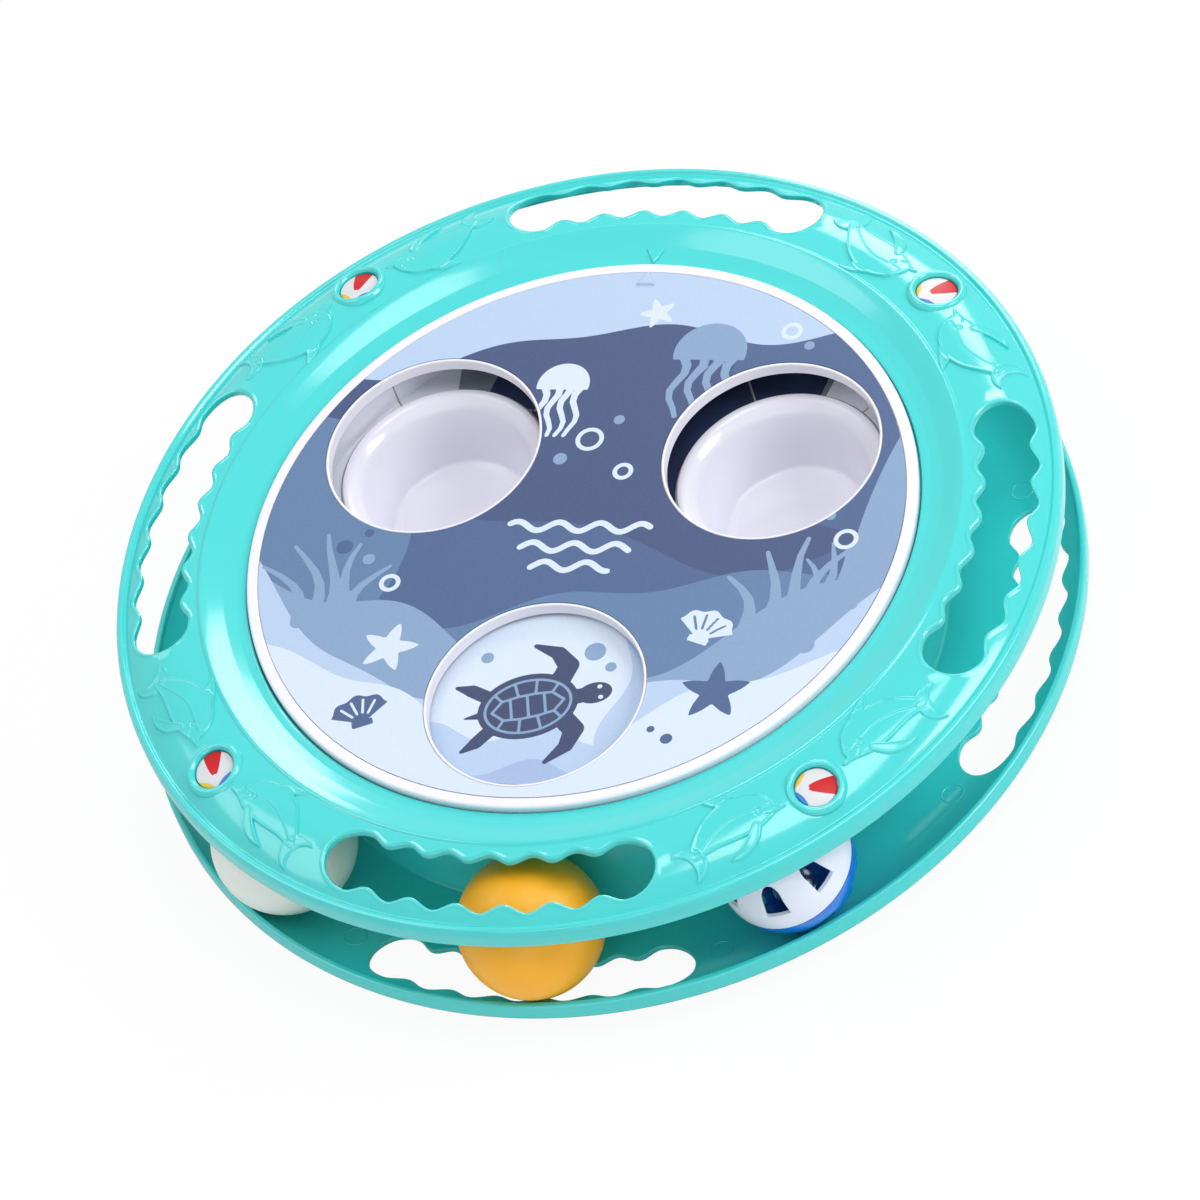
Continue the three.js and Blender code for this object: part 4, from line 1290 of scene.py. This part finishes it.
@dataclass
class ThreeCells:
    """A round plate cut into three equal sectors, each a fan of rays from its own round hole."""

    cell_ring: float = 56.3
    cell_angles: tuple[float, ...] = (150, 30, 270)

    def outline(self, rim: float, spacing: float) -> Array:
        """Gives a sector's outline: up one side, along the rim and back down the other.

        Args:
            rim: the plate's radius.
            spacing: the distance between points.

        Returns:
            Points x, y of a sector whose middle lies on +X; the first repeats at the end.
        """
        up = np.linspace(0, rim, max(8, int(rim / spacing)) + 1)
        arc = np.linspace(-60, 60, max(12, int(rim * 2.1 / spacing)) + 1)[1:-1]
        sides = around(up, -60.0, 0.0), around(rim, arc, 0.0), around(up[::-1], 60.0, 0.0)
        return np.concatenate(sides)[:, :2]

    def fan(self, rim: float, inner: Sequence[float], count: int, spacing: float) -> tuple[Array, Array]:
        """Gives a sector as a grid: circles round the hole, then rays to the outline.

        Args:
            rim: the plate's radius.
            inner: the radii of the circles round the hole, the smallest first.
            count: the rows from the last circle to the outline.
            spacing: the distance between points on the outline.

        Returns:
            x and y, rows by columns, for a sector whose middle lies on +X.
        """
        outline = self.outline(rim, spacing)
        away = outline - [self.cell_ring, 0]
        length = np.hypot(away[:, 0], away[:, 1])
        way = away / length[:, None]
        circles = np.repeat(np.array(inner)[:, None], len(outline), axis=1)
        t = np.linspace(0, 1, count + 1)[1:, None]
        far = circles[-1:] + (length - circles[-1:]) * t
        reach = np.concatenate([circles, far])
        return self.cell_ring + reach * way[:, 0], reach * way[:, 1]

    def put(self, grid: Array, angle: float) -> Array:
        """Turns points about the axis by an angle in degrees.

        Args:
            grid: the points.
            angle: the turn in degrees.

        Returns:
            The turned points.
        """
        c, s = math.cos(math.radians(angle)), math.sin(math.radians(angle))
        x, y, z = np.moveaxis(grid, -1, 0)
        return np.stack([x * c - y * s, x * s + y * c, z], axis=-1)

    def rim_turn(self, points: Array, rim: float) -> Array:
        """Gives the angles in degrees of the points in a row that lie on the rim."""
        far = np.hypot(points[:, 0], points[:, 1]) > rim - 1e-6
        return np.degrees(np.arctan2(points[far, 1], points[far, 0]))


@dataclass
class Turntable:
    """The lid with its film, its hub, and the hub's fastening on the tray's post."""

    finishes: Finishes
    cells: ThreeCells
    radius: float = 94.0
    border: float = 90.8
    bottom: float = 46.6
    plate_top: float = 49.6
    top: float = 50.2
    hole: float = 30.0
    lip: float = 30.8
    arrow_ring: float = 87.6

    def build(self) -> None:
        """Builds the lid, the film, the embossed arrow and the hub's pieces."""
        self.disc()
        self.film()
        self.arrow()
        self.hub()

    def disc(self) -> None:
        """Builds the white disc: a raised lip round each hole, a raised border, and the hub below."""
        surface = Surface()
        spacing = 1.5 / DETAIL
        lip_r = [self.hole, 30.02, 30.1, 30.22, 30.38, 30.55, 30.68, 30.76, self.lip, 30.82]
        lip_z = [49.8, 49.95, 50.08, 50.17, 50.22, 50.22, 50.17, 50.08, 49.9, self.plate_top]
        x, y = self.cells.fan(self.border, lip_r, 4, spacing)
        low_x, low_y = self.cells.fan(self.border, [self.hole], 4, spacing)
        wall = np.linspace(0, 1, 4)[:, None]
        wall_z = self.bottom + (lip_z[0] - self.bottom) * wall
        top_z = np.array(lip_z + [self.plate_top] * 4)[:, None]
        shapes = (level(x, y, top_z), level(low_x, low_y, self.bottom),
                  level(x[:1] + 0 * wall, y[:1] + 0 * wall, wall_z))
        for angle in self.cells.cell_angles:
            for shape in shapes:
                surface.add(self.cells.put(shape, angle))
        rim_turn = self.cells.rim_turn(self.cells.outline(self.border, spacing), self.border)
        edge = rounded([(self.border, self.plate_top), (self.border, self.top, 0.25),
                        (self.radius, self.top, 0.8), (self.radius, self.bottom, 0.8),
                        (self.border, self.bottom)], 6)
        for angle in self.cells.cell_angles:
            surface.add(around(edge[:, :1], rim_turn[None] + angle, edge[:, 1:]))
        hub = rounded([(8.0, 46.7), (8.0, 38.3, 0.3), (10.2, 38.3, 0.5), (10.2, 46.7)], 4)
        surface.add(turned(looped(hub), steps(96)), wrap=True)
        piece("turntable_lid", surface, self.finishes.lid, Body.LID, ["lid_disc"])

    def film(self) -> None:
        """Builds the printed film that lies in the lid between its border and its lips."""
        spacing = 0.85 / DETAIL
        surface = Surface(("deep", "slate", "mist", "pale", "foam", "dark_motif", "mist_motif", "pale_motif"))
        rim, low = self.border - 0.2, self.plate_top + 0.3
        first = [self.lip + 0.15, self.lip + 0.2]
        above = level(*self.cells.fan(rim, first, steps(70), spacing), self.top)
        below = level(*self.cells.fan(rim, first[:1], 1, spacing), low)
        far = np.hypot(above[-1, :, 0], above[-1, :, 1]) > rim - 1e-6
        for angle in self.cells.cell_angles:
            for sheet in (above, below, wall_to(above[:1], low), wall_to(above[-1:, far], low)):
                grid = self.cells.put(sheet, angle)
                surface.add(grid, **seabed(grid[..., 0], grid[..., 1]))
        piece("printed_film", surface, self.finishes.film, Body.LID, ["lid_film"])

    def arrow(self) -> None:
        """Builds the small embossed arrow near the lid's edge, one corner outward."""
        x, y = square(3.6, 72)
        marks = seabed(x, self.arrow_ring + y)
        surface = Surface(tuple(marks))
        add_plate(surface, triangle_plate(x, y), lambda h: level(x, self.arrow_ring + y, self.top + h),
                  **marks)
        piece("film_arrow", surface, self.finishes.film, Body.LID, crease=60)

    def hub(self) -> None:
        """Builds the bush, the washer and the screw at the middle."""
        bush = rounded([(5.3, 37.5), (7.5, 37.5, 0.3), (7.5, 43.6, 0.4), (5.3, 43.6, 0.2), (5.3, 37.5)], 4)
        washer = rounded([(1.9, 43.9), (6.8, 43.9, 0.15), (6.8, 44.7, 0.25), (1.9, 44.7, 0.1),
                          (1.9, 43.9)], 4)
        for name, profile, finish, slot, body, node in (
                ("nylon_bush", bush, self.finishes.nylon, "bush", Body.HUB, "hub_bush"),
                ("flat_washer", washer, self.finishes.steel, "steel", Body.HOUSING, "hub_washer")):
            piece(name, Surface().add(turned(profile, steps(80)), wrap=True), finish, body, [node])
        head_r, arm_half, arm_reach = 2.9, 0.45, 1.8
        head = np.linspace(0.001, head_r, steps(26))
        dome = np.stack([head, 46.3 - 0.35 * (head / head_r) ** 2], axis=1)
        rest = rounded([(head_r, 45.95), (3.2, 45.6, 0.2), (3.2, 45.0, 0.1), (1.5, 45.0), (1.5, 38.6, 0.4),
                        (0.001, 37.6)], 4)
        grid = turned(np.concatenate([dome, rest[1:]]), steps(96))
        x, y = np.abs(grid[..., 0]), np.abs(grid[..., 1])
        arm = np.maximum(np.minimum(arm_half - x, arm_reach - y), np.minimum(arm_half - y, arm_reach - x))
        on_head = (np.arange(len(grid)) < len(head))[:, None]
        grid[..., 2] -= 0.8 * smooth(-0.05, 0.2, arm) * on_head
        piece("post_screw", Surface().add(grid, wrap=True), self.finishes.steel, Body.HOUSING,
              ["hub_screw"])


@dataclass
class BowlTray:
    """The tray under the lid: its deck, its post, the printed sheets and the two bowls."""

    finishes: Finishes
    cells: ThreeCells
    deck: float = 37.2
    under: float = 35.2
    radius: float = 90.4
    hole: float = 27.4
    platform_radius: float = 33.5
    platform_reach: float = 86.5
    platform_top: float = 45.0
    platform_foot: float = 36.6
    sheet_edge: float = 86.75
    sheet_top: float = 37.8
    sheet_under: float = 37.5
    picture_top: float = 45.6
    picture_under: float = 45.3

    def build(self) -> None:
        """Builds the tray, its sheets and the bowls."""
        self.tray()
        self.deck_sheet()
        self.picture()
        bodies = Body.LEFT_BOWL, Body.RIGHT_BOWL
        for name, angle, body in zip(("left", "right"), self.cells.cell_angles, bodies):
            self.bowl(name, angle, body)

    def clipped(self, radius: float, reach: float, columns: int) -> tuple[Array, Array, Array]:
        """Gives the outline of a disc in the front cell that a circle round the axis cuts short.

        The distance along each ray is the disc's radius or the way to the circle, whichever is
        shorter; two columns lie on the corners where they meet.

        Args:
            radius: the disc's radius.
            reach: the circle's radius.
            columns: the number of rays.

        Returns:
            The distance, and the ray's two parts, for each column.
        """
        ring = self.cells.cell_ring
        corner = math.acos((reach**2 - ring**2 - radius**2) / (2 * ring * radius))
        inside = np.linspace(corner, 2 * math.pi - corner, int(columns * 0.75))
        outside = np.linspace(-corner, corner, columns - len(inside) + 2)[1:-1]
        turn = np.concatenate([inside, outside + 2 * math.pi])
        to_circle = -ring * np.cos(turn) + np.sqrt(reach**2 - (ring * np.sin(turn)) ** 2)
        return np.minimum(radius, to_circle), np.cos(turn), np.sin(turn)

    def platform(self, radius: float, reach: float, profile: Array, columns: int) -> Array:
        """Carries a profile round a clipped disc: a row is the outline drawn in by an inset, at a height.

        Args:
            radius: the disc's radius.
            reach: the circle that cuts it.
            profile: (inset, z) rows; an inset above 1000 means the middle.
            columns: the number of rays.

        Returns:
            A grid of points in the front cell.
        """
        length, cos, sin = self.clipped(radius, reach, columns)
        far = np.maximum(length[None] - profile[:, :1], 0.001)
        return self.cells.put(level(self.cells.cell_ring + far * cos, far * sin, profile[:, 1:]),
                              self.cells.cell_angles[2])

    def tray(self) -> None:
        """Builds the deck with its two holes, the post, and the platform in the front cell."""
        surface = Surface()
        spacing = 3.0 / DETAIL
        x, y = self.cells.fan(self.radius, [self.hole], 4, spacing)
        plate = level(x, y, self.deck)
        for angle in self.cells.cell_angles[:2]:
            for shape in (plate, level(x, y, self.under), wall_to(plate[:1], self.under)):
                surface.add(self.cells.put(shape, angle))
        outline = self.cells.outline(self.radius, spacing)
        centre = np.array([self.cells.cell_ring, 0])
        t = np.linspace(0.0005, 1, 5)[:, None, None]
        x, y = np.moveaxis(centre + (outline - centre) * t, -1, 0)
        for z in (self.deck, self.under):
            surface.add(self.cells.put(level(x, y, z), self.cells.cell_angles[2]))
        rim_turn = self.cells.rim_turn(outline, self.radius)
        for angle in self.cells.cell_angles:
            surface.add(around(self.radius, rim_turn[None] + angle, np.array([[self.deck], [self.under]])))
        post = rounded([(1.9, 36.5), (5.0, 36.5), (5.0, 43.6, 0.4), (1.9, 43.6, 0.2), (1.9, 36.5)], 4)
        surface.add(turned(post, steps(72)), wrap=True)
        foot, top = self.platform_foot, self.platform_top
        inset = np.array([[0, foot], [0, 44.4], [0.06, 44.7], [0.25, 44.9], [0.6, top], [2, top], [10, top],
                          [20, top], [32, top], [40, top]])
        for profile in (inset, np.array([[0, foot], [40, foot]])):
            grid = self.platform(self.platform_radius, self.platform_reach, profile, steps(160))
            surface.add(grid, wrap=True)
        piece("bowl_deck", surface, self.finishes.tray, Body.HOUSING, ["bowl_tray"])

    def deck_sheet(self) -> None:
        """Builds the printed sheet round the bowls, which turns up along the housing's skirt."""
        surface = Surface(("grey", "navy", "line"))
        edge, top, under, rise_top = self.sheet_edge, self.sheet_top, self.sheet_under, 46.15
        rise = rounded([(edge, top), (edge, rise_top), (edge + 0.2, rise_top), (edge + 0.2, under),
                        (edge, under)])
        for angle, first in zip(self.cells.cell_angles, (29.9, 29.9, 31.0)):
            x, y = self.cells.fan(edge, [first, first + 0.1], steps(36), 1.0 / DETAIL)
            upper, lower = (self.cells.put(level(x, y, z), angle) for z in (top, under))
            wall = around(rise[:, :1], self.cells.rim_turn(upper[-1], edge)[None], rise[:, 1:])
            for shape in (upper, lower, wall_to(upper[:1], under), wall):
                surface.add(shape, **self.panels(shape[..., 0], shape[..., 1]))
        piece("deck_sheet", surface, self.finishes.deck_print, Body.HOUSING, ["tray_label"])

    def panels(self, x: Array, y: Array) -> dict[str, Array]:
        """Draws the sheet: round each bowl a dark panel between two rays, the rest pale, and thin lines.

        Args:
            x: places in millimetres.
            y: places in millimetres.

        Returns:
            A distance for each ink's mark.
        """
        left, right = ((np.degrees(np.arctan2(y - cy, x - cx)), np.hypot(x - cx, y - cy))
                       for cx, cy, _ in (around(self.cells.cell_ring, angle, 0.0)
                                         for angle in self.cells.cell_angles[:2]))

        def ray(place: tuple[Array, Array], middle: float, half: float) -> Array:
            """Gives the distance into a wedge about a hole's centre."""
            gap = np.abs((place[0] - middle + 180) % 360 - 180)
            return (half - gap) * np.radians(place[1])

        in_left = np.clip(-x, -9, 9)
        navy = np.maximum(np.minimum(ray(left, 44, 34), in_left), np.minimum(ray(right, 142, 62), -in_left))
        grey = np.maximum(np.minimum(ray(left, 84, 12), in_left), np.minimum(ray(right, 88, 11), -in_left))
        lines = [ray(left, middle, 0.5) for middle in (128, 166, 200)]
        lines += [ray(right, middle, 0.5) for middle in (52, 116)]
        lines += [Draw(x, y).stroke(path) for path in (
            ((-32, 58, 0.4), (-20, 46, 0.4)), ((-26, 60, 0.4), (-24, 44, 0.4)),
            ((-36, 50, 0.4), (-18, 52, 0.4)))]
        return {"grey": grey, "navy": navy, "line": np.maximum.reduce(lines)}

    def picture(self) -> None:
        """Builds the printed picture on the platform."""
        surface = Surface(("slate", "mist", "dark_motif", "mist_motif", "pale_motif"))
        top, under = self.picture_top, self.picture_under
        insets = np.concatenate([np.linspace(0, 32.9, steps(100)), [40]])
        face = np.stack([insets, np.full(len(insets), top)], axis=1)
        for profile in (face, np.array([[0, top], [0, under]]), np.array([[0, under], [40, under]])):
            grid = self.platform(33.0, 83.0, profile, steps(400))
            surface.add(grid, wrap=True, **turtle(grid[..., 0], grid[..., 1] + self.cells.cell_ring))
        piece("turtle_picture", surface, self.finishes.picture, Body.HOUSING, ["picture_label"])

    def bowl(self, name: str, angle: float, body: Body) -> None:
        """Builds a bowl: a rolled rim, a steep wall and a flat floor inside, and a foot ring below.

        Args:
            name: left or right.
            angle: the cell's angle.
            body: the body it rides on.
        """
        outside = [(0.001, 16.6), (14.5, 16.6, 0.4), (15.2, 16.2, 0.3), (17.5, 16.2, 0.8), (20.8, 18.2, 5),
                   (25.4, 27.2, 12), (27.1, 34.6, 3), (27.15, 37.5, 0.2), (29.4, 37.5, 0.5),
                   (29.4, 38.8, 0.75)]
        inside = [(27.4, 38.8, 4), (24.5, 36.5, 6.2), (22.8, 30.5, 9), (19.7, 18.7, 1.6), (17.2, 18.1, 0.3),
                  (0.001, 18.1)]
        profile = rounded([*outside, *inside], 8)
        surface = Surface().add(turned(profile, steps(144), spot(self.cells.cell_ring, angle)), wrap=True)
        piece(f"food_bowl_{name}", surface, self.finishes.glaze, body, [f"bowl_{name}"], 60)


# The balls


@dataclass
class Balls:
    """The two plain balls, and the cage ball with its bell."""

    finishes: Finishes
    plain: float = 20.0
    plain_z: float = 24.3
    ring: float = 113.7
    cage: float = 18.75
    cage_wall: float = 1.3
    cage_centre: tuple[float, float, float] = (71.0565, -89.6510, 23.05)
    equator: float = 0.15
    crown: float = 16.2
    window_half: float = 3.4
    window_low: float = 5.8
    window_high: float = 13.9
    windows: int = 7

    def build(self) -> None:
        """Builds the balls, the bell and its pellet."""
        self.plain_ball("orange", 272.7, (-0.5, 0.2, 0.8), self.finishes.orange, Body.ORANGE_BALL)
        self.plain_ball("white", 231.4, (0.3, 0.2, 0.9), self.finishes.white, Body.WHITE_BALL)
        place = facing((-0.14, -0.25, 0.96), self.cage_centre)
        turn = Matrix.Rotation(math.pi, 4, "X")
        for half, finish, matrix, start in (("white", self.finishes.cage_white, place, 0.0),
                                            ("blue", self.finishes.cage_blue, place @ turn, 0.5)):
            piece(f"cage_half_{half}", self.cage_half(matrix, start), finish, Body.CAGE_BALL,
                  [f"cage_ball_{half}"], 40)
        self.bell()

    def plain_ball(self, name: str, angle: float, pole: Sequence[float], finish: bpy.types.Material,
                   body: Body) -> None:
        """Builds a hollow ball's skin with its faint welded seam, a shallow groove at its equator.

        Args:
            name: the ball's colour.
            angle: its place round the track.
            pole: where its pole points.
            finish: its material.
            body: the body it rides on.
        """
        latitude = np.linspace(-90, 90, steps(120) | 1)
        radius = self.plain - 0.05 * np.exp(-((latitude / 1.1) ** 2))
        profile = globe(np.radians(latitude), radius, radius)
        place = facing(pole, around(self.ring, angle, self.plain_z).tolist())
        surface = Surface().add(turned(profile, steps(160), place), wrap=True)
        piece(f"{name}_plain_ball", surface, finish, body,
              [f"{name}_ball_a", f"{name}_ball_b"], 60)

    def cage_half(self, place: Matrix, start: float) -> Surface:
        """Builds half the cage ball: seven ribs between tongue-shaped windows, and a closed crown.

        A window's sector is a block of longitude and height. Its outline is joined to the window's
        outline by straight rows in longitude and height, on the outer and on the inner sphere, and
        a wall joins the two round the window. Above the blocks the crown is turned.

        Args:
            place: the half's place, its pole on +Z.
            start: the first window's place, as a share of the step between windows.

        Returns:
            The surface.
        """
        outer, inner = self.cage, self.cage - self.cage_wall
        step, low_z, crown = 360 / self.windows, self.equator, self.crown
        inner_scale = inner / outer + 0.02
        across, up = steps(28), steps(28)
        along, rise = np.arange(across) / across, np.arange(up) / up
        block = np.concatenate([np.stack(np.broadcast_arrays(*side), axis=1) for side in (
            (-step / 2 + step * along, low_z), (step / 2, low_z + (crown - low_z) * rise),
            (step / 2 - step * along, crown), (-step / 2, crown - (crown - low_z) * rise))])
        half, low, centre_z = self.window_half, self.window_low, self.window_high - self.window_half
        middle = (low + self.window_high) / 2
        flat = block * [math.radians(1) * 14, 1]
        turn = np.arctan2(flat[:, 1] - middle, flat[:, 0])
        far = np.linspace(0, 14, 1401)[None]
        px, pz = far * np.cos(turn)[:, None], middle + far * np.sin(turn)[:, None]
        width = half * (1.0 - 0.2 * np.clip((pz - low) / (centre_z - low), 0, 1.2))
        tongue = np.minimum(np.minimum(width - np.abs(px), pz - low), centre_z - pz)
        round_end = 0.8 * half - np.hypot(px, (pz - centre_z) * 0.8)
        inside = np.maximum(tongue, np.where(pz >= centre_z - 1e-6, round_end, -9)) > 0
        edge = far[0][np.maximum(inside.shape[1] - 1 - np.argmax(inside[:, ::-1], axis=1), 0)]
        wx, wz = edge * np.cos(turn), middle + edge * np.sin(turn)
        surface = Surface()
        rows = np.array([0, 0.03, 0.09, 0.2, 0.36, 0.56, 0.78, 1.0])[:, None]
        soften = np.array([0.16, 0.05, 0.0, 0, 0, 0, 0, 0])[:, None]
        for k in range(self.windows):
            rings = []
            for radius, sign in ((outer, -1), (inner, 1)):
                window_lon = np.degrees(np.arctan2(wx, np.sqrt(radius**2 - wz**2 - wx**2)))
                lon = window_lon * (1 - rows) + block[:, 0] * rows
                z = wz * (1 - rows) + block[:, 1] * rows * min(1.0, radius / outer + 0.02)
                r = np.sqrt(np.maximum((radius + sign * soften) ** 2 - z**2, 0.01))
                grid = moved(around(r, lon + (k + start) * step, z), place)
                surface.add(grid, wrap=True)
                rings.append(grid[0])
            surface.add(np.stack(rings), wrap=True)
        columns = across * self.windows
        angles = (np.arange(columns) / columns * 360) - step / 2 + start * step
        quarter = np.sin(np.linspace(0, math.pi / 2, steps(14)))[:, None]
        for radius, scale in ((outer, 1.0), (inner, inner_scale)):
            height = crown * scale + (radius - crown * scale) * quarter
            r = np.sqrt(np.maximum(radius**2 - height**2, 1e-6))
            surface.add(moved(around(r, angles[None], height), place), wrap=True)
        seam_z = np.array([[low_z], [low_z * inner_scale]])
        seam_r = np.sqrt(np.array([[outer], [inner]]) ** 2 - seam_z**2)
        surface.add(moved(around(seam_r, angles[None], seam_z), place), wrap=True)
        return surface

    def bell(self) -> None:
        """Builds the bell's two shells, joined by a rolled seam, and the pellet in it."""
        x, y = self.cage_centre[:2]
        bell_z, pellet_z, bell_r, roll, pellet_r = 12.8, 10.1, 6.2, 0.35, 2
        latitude = np.radians(np.concatenate([np.linspace(3, 12, 5), np.linspace(14, 90, steps(24))]))
        swell = roll * np.exp(-((np.degrees(latitude) - 4) / 4.5) ** 2)
        out = globe(latitude, bell_r - roll + swell, bell_r)
        inside = out[::-1] * 0.89
        inside[0, 0] = 0.001
        for name, sign in (("cap", 1), ("base", -1)):
            profile = np.concatenate([out, inside, out[:1]]) * [1, sign]
            surface = Surface().add(turned(profile, steps(64), Matrix.Translation((x, y, bell_z))), wrap=True)
            piece(f"bell_{name}_shell", surface, self.finishes.steel, Body.BELL,
                  [f"bell_{name}"], 50)
        profile = globe(np.radians(np.linspace(-90, 90, 21)), pellet_r, pellet_r)
        surface = Surface().add(turned(profile, steps(32), Matrix.Translation((x, y, pellet_z))), wrap=True)
        piece("rolling_pellet", surface, self.finishes.steel, Body.PELLET, ["bell_pellet"], 60)


# The studio


@dataclass
class Studio:
    """The floor, the soft lights, the world and the photograph's camera."""

    eye: tuple[float, float, float] = (0.68059, -1.22468, 1.62193)
    right: tuple[float, float, float] = (0.94701191, 0.21168665, -0.24157237)
    down: tuple[float, float, float] = (0.02047145, -0.79034654, -0.61231795)
    lens: float = 232.77

    def build(self) -> None:
        """Sets the camera, the floor, the lights and the world."""
        self.camera()
        self.floor()
        self.lights()
        self.world()

    def camera(self) -> None:
        """Puts the camera where the photograph was taken from."""
        made = linked("camera", bpy.data.cameras.new("camera"))
        made.data.lens = self.lens
        made.data.sensor_width = 36
        made.data.clip_end = 50
        right, up = Vector(self.right), -Vector(self.down)
        turn = Matrix((right, up, right.cross(up))).transposed().to_4x4()
        made.matrix_world = Matrix.Translation(self.eye) @ turn
        bpy.context.scene.camera = made

    def floor(self) -> None:
        """Lays a wide white floor just under the feet, which keeps the toy's shadow."""
        profile = np.array([[0.001, -0.05], [900.0, -0.05], [6000.0, -0.05]])
        surface = Surface().add(turned(profile, 64), wrap=True)
        made = linked("floor", surface.mesh("floor"))
        recipe = Recipe("floor_white")
        recipe.finish(Base_Color=(0.9, 0.9, 0.9), Roughness=0.9)
        seen = recipe.node("ShaderNodeLightPath", {}, {}, "Is Camera Ray")
        glow = recipe.node("ShaderNodeEmission", {}, {"Color": (1, 1, 1, 1), "Strength": 1.0})
        plain = Expression(recipe, recipe.shader.outputs[0])
        mixed = recipe.node("ShaderNodeMixShader", {}, {0: seen * 0.93, 1: plain, 2: glow})
        recipe.plug(recipe.output.inputs[0], mixed)
        made.data.materials.append(recipe.material)

    def lights(self) -> None:
        """Hangs the soft lights, each a panel given by its place, width, height and watts."""
        for name, place, width, height, watts in (
                ("top_softbox", (0.35, 0.08, 1.6), 0.75, 0.75, 7.0),
                ("back_softbox", (-0.08, 1.25, 0.8), 0.5, 0.6, 6.0),
                ("right_softbox", (1.3, 0.15, 1.0), 0.7, 0.7, 11.0),
                ("left_softbox", (-0.95, -0.1, 1.3), 0.9, 0.9, 5.0),
                ("front_softbox", (0.2, -1.6, 0.5), 1.4, 0.6, 4.5)):
            data = bpy.data.lights.new(name, "AREA")
            data.energy = watts
            data.shape = "RECTANGLE"
            data.size, data.size_y = width, height
            linked(name, data).matrix_world = facing(Vector(place) - Vector((0, 0, 0.03)), place)

    def world(self) -> None:
        """Lights all round softly, and shows white to the camera, to reflections and through clear things."""
        world = bpy.data.worlds.new("white_studio")
        bpy.context.scene.world = world
        world.use_nodes = True
        nodes = Nodes(world.node_tree)
        seen, glossy, through = (nodes.node("ShaderNodeLightPath", {}, {}, f"Is {kind} Ray")
                                 for kind in ("Camera", "Glossy", "Transmission"))
        seen = seen.math("MAXIMUM", glossy).math("MAXIMUM", through)
        strength = nodes.node("ShaderNodeMapRange", {}, {"To Min": 0.42, "To Max": 1.0, "Value": seen})
        background = nodes.node("ShaderNodeBackground", {}, {"Color": (1, 1, 1, 1), "Strength": strength})
        nodes.plug(nodes.tree.nodes.new("ShaderNodeOutputWorld").inputs[0], background)
        bpy.context.scene.view_settings.view_transform = "Standard"


def main() -> None:
    """Builds the toy and its studio in order."""
    logging.basicConfig(level=logging.INFO, format="%(name)s: %(message)s")
    Studio().build()
    finishes = Finishes()
    cells = ThreeCells()
    Housing(BallTrack(), finishes).build()
    Turntable(finishes, cells).build()
    BowlTray(finishes, cells).build()
    Balls(finishes).build()


if __name__ == "__main__":
    main()
